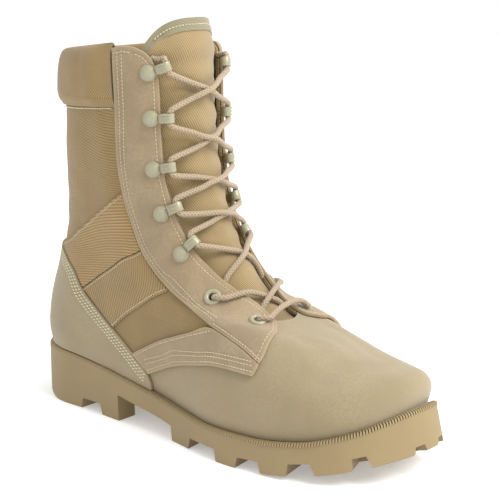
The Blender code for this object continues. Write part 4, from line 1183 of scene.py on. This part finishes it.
def model_hook():
    """Speed hook: domed disc, neck, and a ridged strip folded back under the lace."""
    fold = HOOK_ROOM / 2
    bpy.ops.mesh.primitive_cylinder_add(vertices=40, radius=HOOK_HEAD, depth=1.0, location=(0, 0, 0.5))
    head = bpy.context.object
    select_faces(lambda normal, centre: normal.z > 0.9)
    bpy.ops.mesh.inset(thickness=0.7)
    for inset, rise in ((0.2, 0.6), (0.4, 0.6), (0.7, 0.5), (0.9, 0.35), (1.0, 0.2)):
        bpy.ops.mesh.extrude_region_move(TRANSFORM_OT_translate={"value": (0, 0, rise)})
        bpy.ops.mesh.inset(thickness=inset)
    bpy.ops.object.mode_set(mode="OBJECT")
    bend_x = HOOK_REACH - fold - HOOK_SHEET
    spot = ((HOOK_NECK + bend_x) / 2, 0, HOOK_TOP - HOOK_SHEET / 2)
    bpy.ops.mesh.primitive_cube_add(size=1.0, location=spot,
                                    scale=(bend_x - HOOK_NECK, HOOK_WIDTH, HOOK_SHEET))
    arm = bpy.context.object
    bpy.ops.object.transform_apply(location=True, rotation=True, scale=True)
    select_faces(lambda normal, centre: normal.x > 0.9)
    bpy.ops.mesh.spin(steps=10, angle=-math.pi, center=(bend_x, 0, HOOK_TOP - HOOK_SHEET - fold),
                      axis=(0, 1, 0))
    bpy.ops.mesh.extrude_region_move(TRANSFORM_OT_translate={"value": (-4.0, 0, 0)})
    select_faces(lambda normal, centre: normal.x < -0.9 and centre.z > 0)
    bpy.ops.mesh.extrude_region_move(TRANSFORM_OT_translate={"value": (-2.4, 0, -1.7)})
    bpy.ops.transform.resize(value=(1, 0.72, 1))
    bpy.ops.object.mode_set(mode="OBJECT")
    tidy_mesh(arm)
    parts = [head, arm]
    for y in RIDGES_AT:
        spot = (HOOK_REACH - 5.6, y, HOOK_TOP)
        bpy.ops.mesh.primitive_cylinder_add(vertices=12, radius=0.5, depth=5.0, location=spot,
                                            rotation=(0, math.pi / 2, 0))
        parts.append(bpy.context.object)
    join_parts(parts)
    round_edges(head, 0.22, 2, 40)
    smooth_shade(head, 45)
    head.data.transform(Matrix.Scale(MM, 4))
    return head


def model_eyelet():
    """Rolled eyelet: a rounded flange and a barrel through the leather."""
    bpy.ops.mesh.primitive_torus_add(major_radius=FLANGE_RADIUS, minor_radius=FLANGE_ROUND,
                                     major_segments=48, minor_segments=16)
    flange = bpy.context.object
    bpy.ops.transform.resize(value=(1, 1, 0.72))
    bpy.ops.object.transform_apply(location=True, rotation=True, scale=True)
    bpy.ops.mesh.primitive_cylinder_add(vertices=48, radius=BARREL_RADIUS, depth=5.4,
                                        end_fill_type="NOTHING", location=(0, 0, -2.2))
    barrel = bpy.context.object
    thicken(barrel, 0.45)
    join_parts([flange, barrel])
    smooth_shade(flange, 50)
    flange.data.transform(Matrix.Scale(MM, 4))
    return flange


def fit(name, model, matrix, node):
    """Copy of a hook or eyelet in its place, in the stead of a solid."""
    mesh = model.data.copy()
    mesh.transform(matrix)
    dress(add_object(name, mesh), "paint", [node])


def build_fittings():
    """Hooks and eyelets on both facings, and the eyelets' holes."""
    hook = model_hook()
    eyelet = model_eyelet()
    raised = Matrix.Translation((0, 0, (FACING_SEAT + LEATHER + 0.25) * MM))
    for inner, side in SIDES:
        for number, (u, v) in enumerate(HOOKS, start=1):
            matrix = surface_frame(u, v, HOOK_SEAT - 0.35, inner)
            fit(f"speed_hook_{side}_{number}", hook, matrix, f"hook_{side}_{number}")
        for number, (u, v) in enumerate(EYELETS, start=1):
            matrix = surface_frame(u, v, 0.0, inner)
            fit(f"ring_{side}_{number}", eyelet, matrix @ raised, f"eyelet_{side}_{number}")
            for name in (f"facing_sheet_{side}", "vamp", "shaft", "lining_foot", "lining_shaft"):
                bpy.ops.mesh.primitive_cylinder_add(vertices=32, radius=HOLE_RADIUS * MM, depth=16 * MM)
                drill = bpy.context.object
                drill.data.transform(matrix)
                carve(bpy.data.objects[name], drill)
    bpy.data.objects.remove(hook)
    bpy.data.objects.remove(eyelet)


# Lace

def lace_at_hook(number, inner):
    """Points of the lace round the back of a hook, from above it to below it."""
    middle = HOOK_TOP - HOOK_SHEET - HOOK_ROOM / 2
    matrix = surface_frame(*HOOKS[number], HOOK_SEAT, inner)
    seat = HOOK_REACH - HOOK_SHEET - LACE_RADIUS - 0.5
    points = []
    for x, y, z in ((seat + 2.0, 5.4, middle + 0.6), (seat + 0.2, 3.0, middle),
                    (seat + 0.2, -3.0, middle), (seat + 2.0, -5.4, middle + 0.6)):
        point = matrix @ (Vector((x, -y if inner else y, z)) * MM)
        points.append(np.array(point / MM + Vector((HEEL_CENTRE, 0, 0))))
    if points[0][2] < points[-1][2]:
        points.reverse()
    return points


def on_tongue(u, v, lift):
    """Place of the lace's middle line, lift millimetres above lying on the tongue."""
    v = np.asarray(v, dtype=float)
    reach = 0.5 - throat_edge(v) + TONGUE_HIDDEN
    _, tongue = tongue_shape((u - 0.5) / reach, v)
    return upper_point(np.broadcast_to(u, v.shape), v, tongue + LACE_RADIUS + lift)


def crossing(start, end, lift):
    """Points of a taut lace between two places: under a straight line, on the tongue."""
    points = []
    for share in (0.24, 0.37, 0.5, 0.63, 0.76):
        aim = start + (end - start) * share
        u = 0.5 + 0.088 * (2 * share - 1) * (1 if end[1] > start[1] else -1)
        tries = np.linspace(0.48, 1.0, 105)
        away = np.linalg.norm(on_tongue(u, tries, 1.0) - aim, axis=-1)
        points.append(on_tongue(u, tries[np.argmin(away)], lift * (1 - abs(2 * share - 1)) + 0.4))
    return points


def hook_run(starts_inner, lift):
    """Points of one half of the lace, from a top hook down to the lowest hooks."""
    points = lace_at_hook(0, starts_inner)
    inner = starts_inner
    for number in range(1, len(HOOKS)):
        inner = not inner
        below = lace_at_hook(number, inner)
        points += crossing(points[-1], below[0], lift) + below
    return points


def tube(name, path, radius, sides=12):
    """Round cord along a path, with the length and turn of its braid as a UV map."""
    heading = unit(np.gradient(path, axis=0))
    side = unit(np.cross(heading[0], [0.0, 0.0, 1.0]))
    points, lengths = [], []
    for spot, ahead, distance in zip(path, heading, run_lengths(path)):
        side = unit(side - ahead * (side @ ahead))
        up = np.cross(ahead, side)
        for k in range(sides + 1):
            angle = 2 * math.pi * k / sides
            points.append(spot + radius * (side * math.cos(angle) + up * math.sin(angle)))
            lengths.append((distance, k / sides))
    faces = grid_faces(len(path) - 1, sides)
    faces.append(list(range(sides))[::-1])
    faces.append([(len(path) - 1) * (sides + 1) + k for k in range(sides)])
    piece = new_piece(name, points, faces, np.array(lengths).T)
    tidy_mesh(piece, weld=True)
    smooth_shade(piece)
    return piece


def eased_path(points, pitch=1.2):
    """Evenly spaced points of a smooth line through the given ones."""
    points = np.array(points)
    points = np.concatenate([2 * points[:1] - points[1:2], points, 2 * points[-1:] - points[-2:-1]])
    made = []
    for before, start, end, after in zip(points, points[1:], points[2:], points[3:]):
        made.extend(between(before, start, end, after, q) for q in np.linspace(0, 1, 14, endpoint=False))
    made.append(points[-2])
    made = np.array(made)
    distance = run_lengths(made)
    path = read_line(np.arange(0, distance[-1], pitch), distance, made)
    for _ in range(3):
        path[1:-1] = (path[:-2] + 2 * path[1:-1] + path[2:]) / 4
    return path


def through_eyelet(number, inner, outwards):
    """Points of the lace through an eyelet, from inside the boot to outside or back."""
    u, v = EYELETS[number]
    u = 1 - u if inner else u
    toward = -1 if inner else 1
    top = FACING_SEAT + LEATHER
    steps = ((0.016, 0.004, -5.2), (0.004, 0.0, -3.6), (0.001, 0.0, 0.2), (0.004, 0.0, top + 1.8),
             (0.018, -0.001, top + 2.9))
    points = [upper_point(u + toward * ahead, v + rise, out) for ahead, rise, out in steps]
    return points if outwards else points[::-1]


def lay(steps):
    """Points of the lace at u, v and a height over the tongue or over the upper."""
    return [on_tongue(*step[1:]) if step[0] == "tongue" else upper_point(*step[1:]) for step in steps]


def build_lace():
    """The whole lace: from one top hook down through the eyelets and up to the other."""
    over = hook_run(True, 3.4)
    under = hook_run(False, 0.4)
    tuck = ((0.383, 0.972, -1.6), (0.396, 0.968, 1.0))
    outer_tuck = [upper_point(u, v, out) for u, v, out in tuck]
    inner_tuck = [upper_point(1 - u, v, out) for u, v, out in tuck]
    to_inner_2 = lay((("tongue", 0.503, 0.543, 0.6), ("tongue", 0.548, 0.515, 0.6),
                      ("upper", 0.578, 0.478, -1.5), ("upper", 0.592, 0.458, -4.8)))
    from_inner_2 = lay((("upper", 0.585, 0.446, 5.2), ("tongue", 0.533, 0.456, 5.0),
                        ("tongue", 0.482, 0.443, 3.6), ("upper", 0.455, 0.428, -1.0),
                        ("upper", 0.440, 0.405, -4.8)))
    bar = lay((("upper", 0.436, 0.386, 6.0), ("upper", 0.475, 0.408, 8.6), ("upper", 0.525, 0.412, 8.8),
               ("upper", 0.566, 0.396, 6.8)))
    to_outer_2 = lay((("upper", 0.560, 0.410, -4.6), ("tongue", 0.541, 0.432, 0.4),
                      ("tongue", 0.512, 0.448, 1.0), ("upper", 0.453, 0.458, 4.6),
                      ("upper", 0.412, 0.444, 4.8)))
    back_up = lay((("upper", 0.405, 0.462, -4.8), ("upper", 0.420, 0.482, -2.0),
                   ("tongue", 0.438, 0.500, 1.0), ("tongue", 0.493, 0.533, 3.2),
                   ("tongue", 0.545, 0.552, 1.8)))
    points = (outer_tuck + under + to_inner_2 + through_eyelet(0, True, True) + from_inner_2
              + through_eyelet(1, False, True) + bar + through_eyelet(1, True, False) + to_outer_2
              + through_eyelet(0, False, False) + back_up + over[::-1] + inner_tuck[::-1])
    lace = tube("lace", eased_path(points), LACE_RADIUS)
    dress(lace, "braid", ["lace_crossings", "lace_lower", "lace_bar"])


# Floor, light and camera

def build_floor():
    """Pale floor that the photo's white background turns into."""
    bpy.ops.mesh.primitive_plane_add(size=12.0, location=(0.0, 0.0, 0.0))
    floor = bpy.context.object
    floor.name = "studio_floor"
    tree, shader = new_material("studio floor", 0.9)
    set_inputs(tree, shader, {"Base Color": (0.8, 0.8, 0.8, 1.0), "Emission Color": WHITE,
                              "Emission Strength": 0.3})
    floor.data.materials.append(finishes["studio floor"])


def build_lights():
    """White surroundings and three soft lamps."""
    world = bpy.data.worlds.new("studio")
    world.use_nodes = True
    background = world.node_tree.nodes["Background"]
    set_inputs(world.node_tree, background, {"Color": WHITE, "Strength": 1.0})
    bpy.context.scene.world = world
    for name, spot, size, power in (("key", (1.5, 0.3, 1.7), 1.4, 60.0),
                                    ("fill", (-1.2, -1.2, 0.9), 1.6, 1.0),
                                    ("back", (0.2, 1.4, 1.6), 1.2, 2.0)):
        light = bpy.data.lights.new(name, "AREA")
        light.energy = power
        light.size = size
        lamp = add_object(name, light)
        lamp.location = spot
        lamp.rotation_euler = (Vector((0.1, 0.0, 0.1)) - Vector(spot)).to_track_quat("-Z", "Y").to_euler()


def build_camera():
    """Camera at the photograph's angle to the boot, rolled like it."""
    azimuth, elevation, roll = (math.radians(angle) for angle in (AZIMUTH, ELEVATION, ROLL))
    back = Vector((math.sin(azimuth) * math.cos(elevation), -math.cos(azimuth) * math.cos(elevation),
                   math.sin(elevation)))
    right = Vector((math.cos(azimuth), math.sin(azimuth), 0.0))
    up = back.cross(right)
    turned_right = right * math.cos(roll) - up * math.sin(roll)
    turned_up = right * math.sin(roll) + up * math.cos(roll)
    data = bpy.data.cameras.new("camera")
    data.sensor_width = 36.0
    data.lens = LENS
    data.shift_x, data.shift_y = SHIFT
    camera = add_object("camera", data)
    matrix = Matrix((turned_right, turned_up, back)).transposed().to_4x4()
    matrix.translation = Vector(AIM) + back * DISTANCE
    camera.matrix_world = matrix
    bpy.context.scene.camera = camera
    bpy.context.scene.view_settings.view_transform = "Standard"


def main():
    build_floor()
    build_lights()
    build_camera()
    build_finishes()
    build_vamp_and_shaft()
    build_panels()
    build_cuff()
    build_tongue()
    build_sole()
    build_ribs()
    build_footbed()
    build_fittings()
    build_lace()


main()
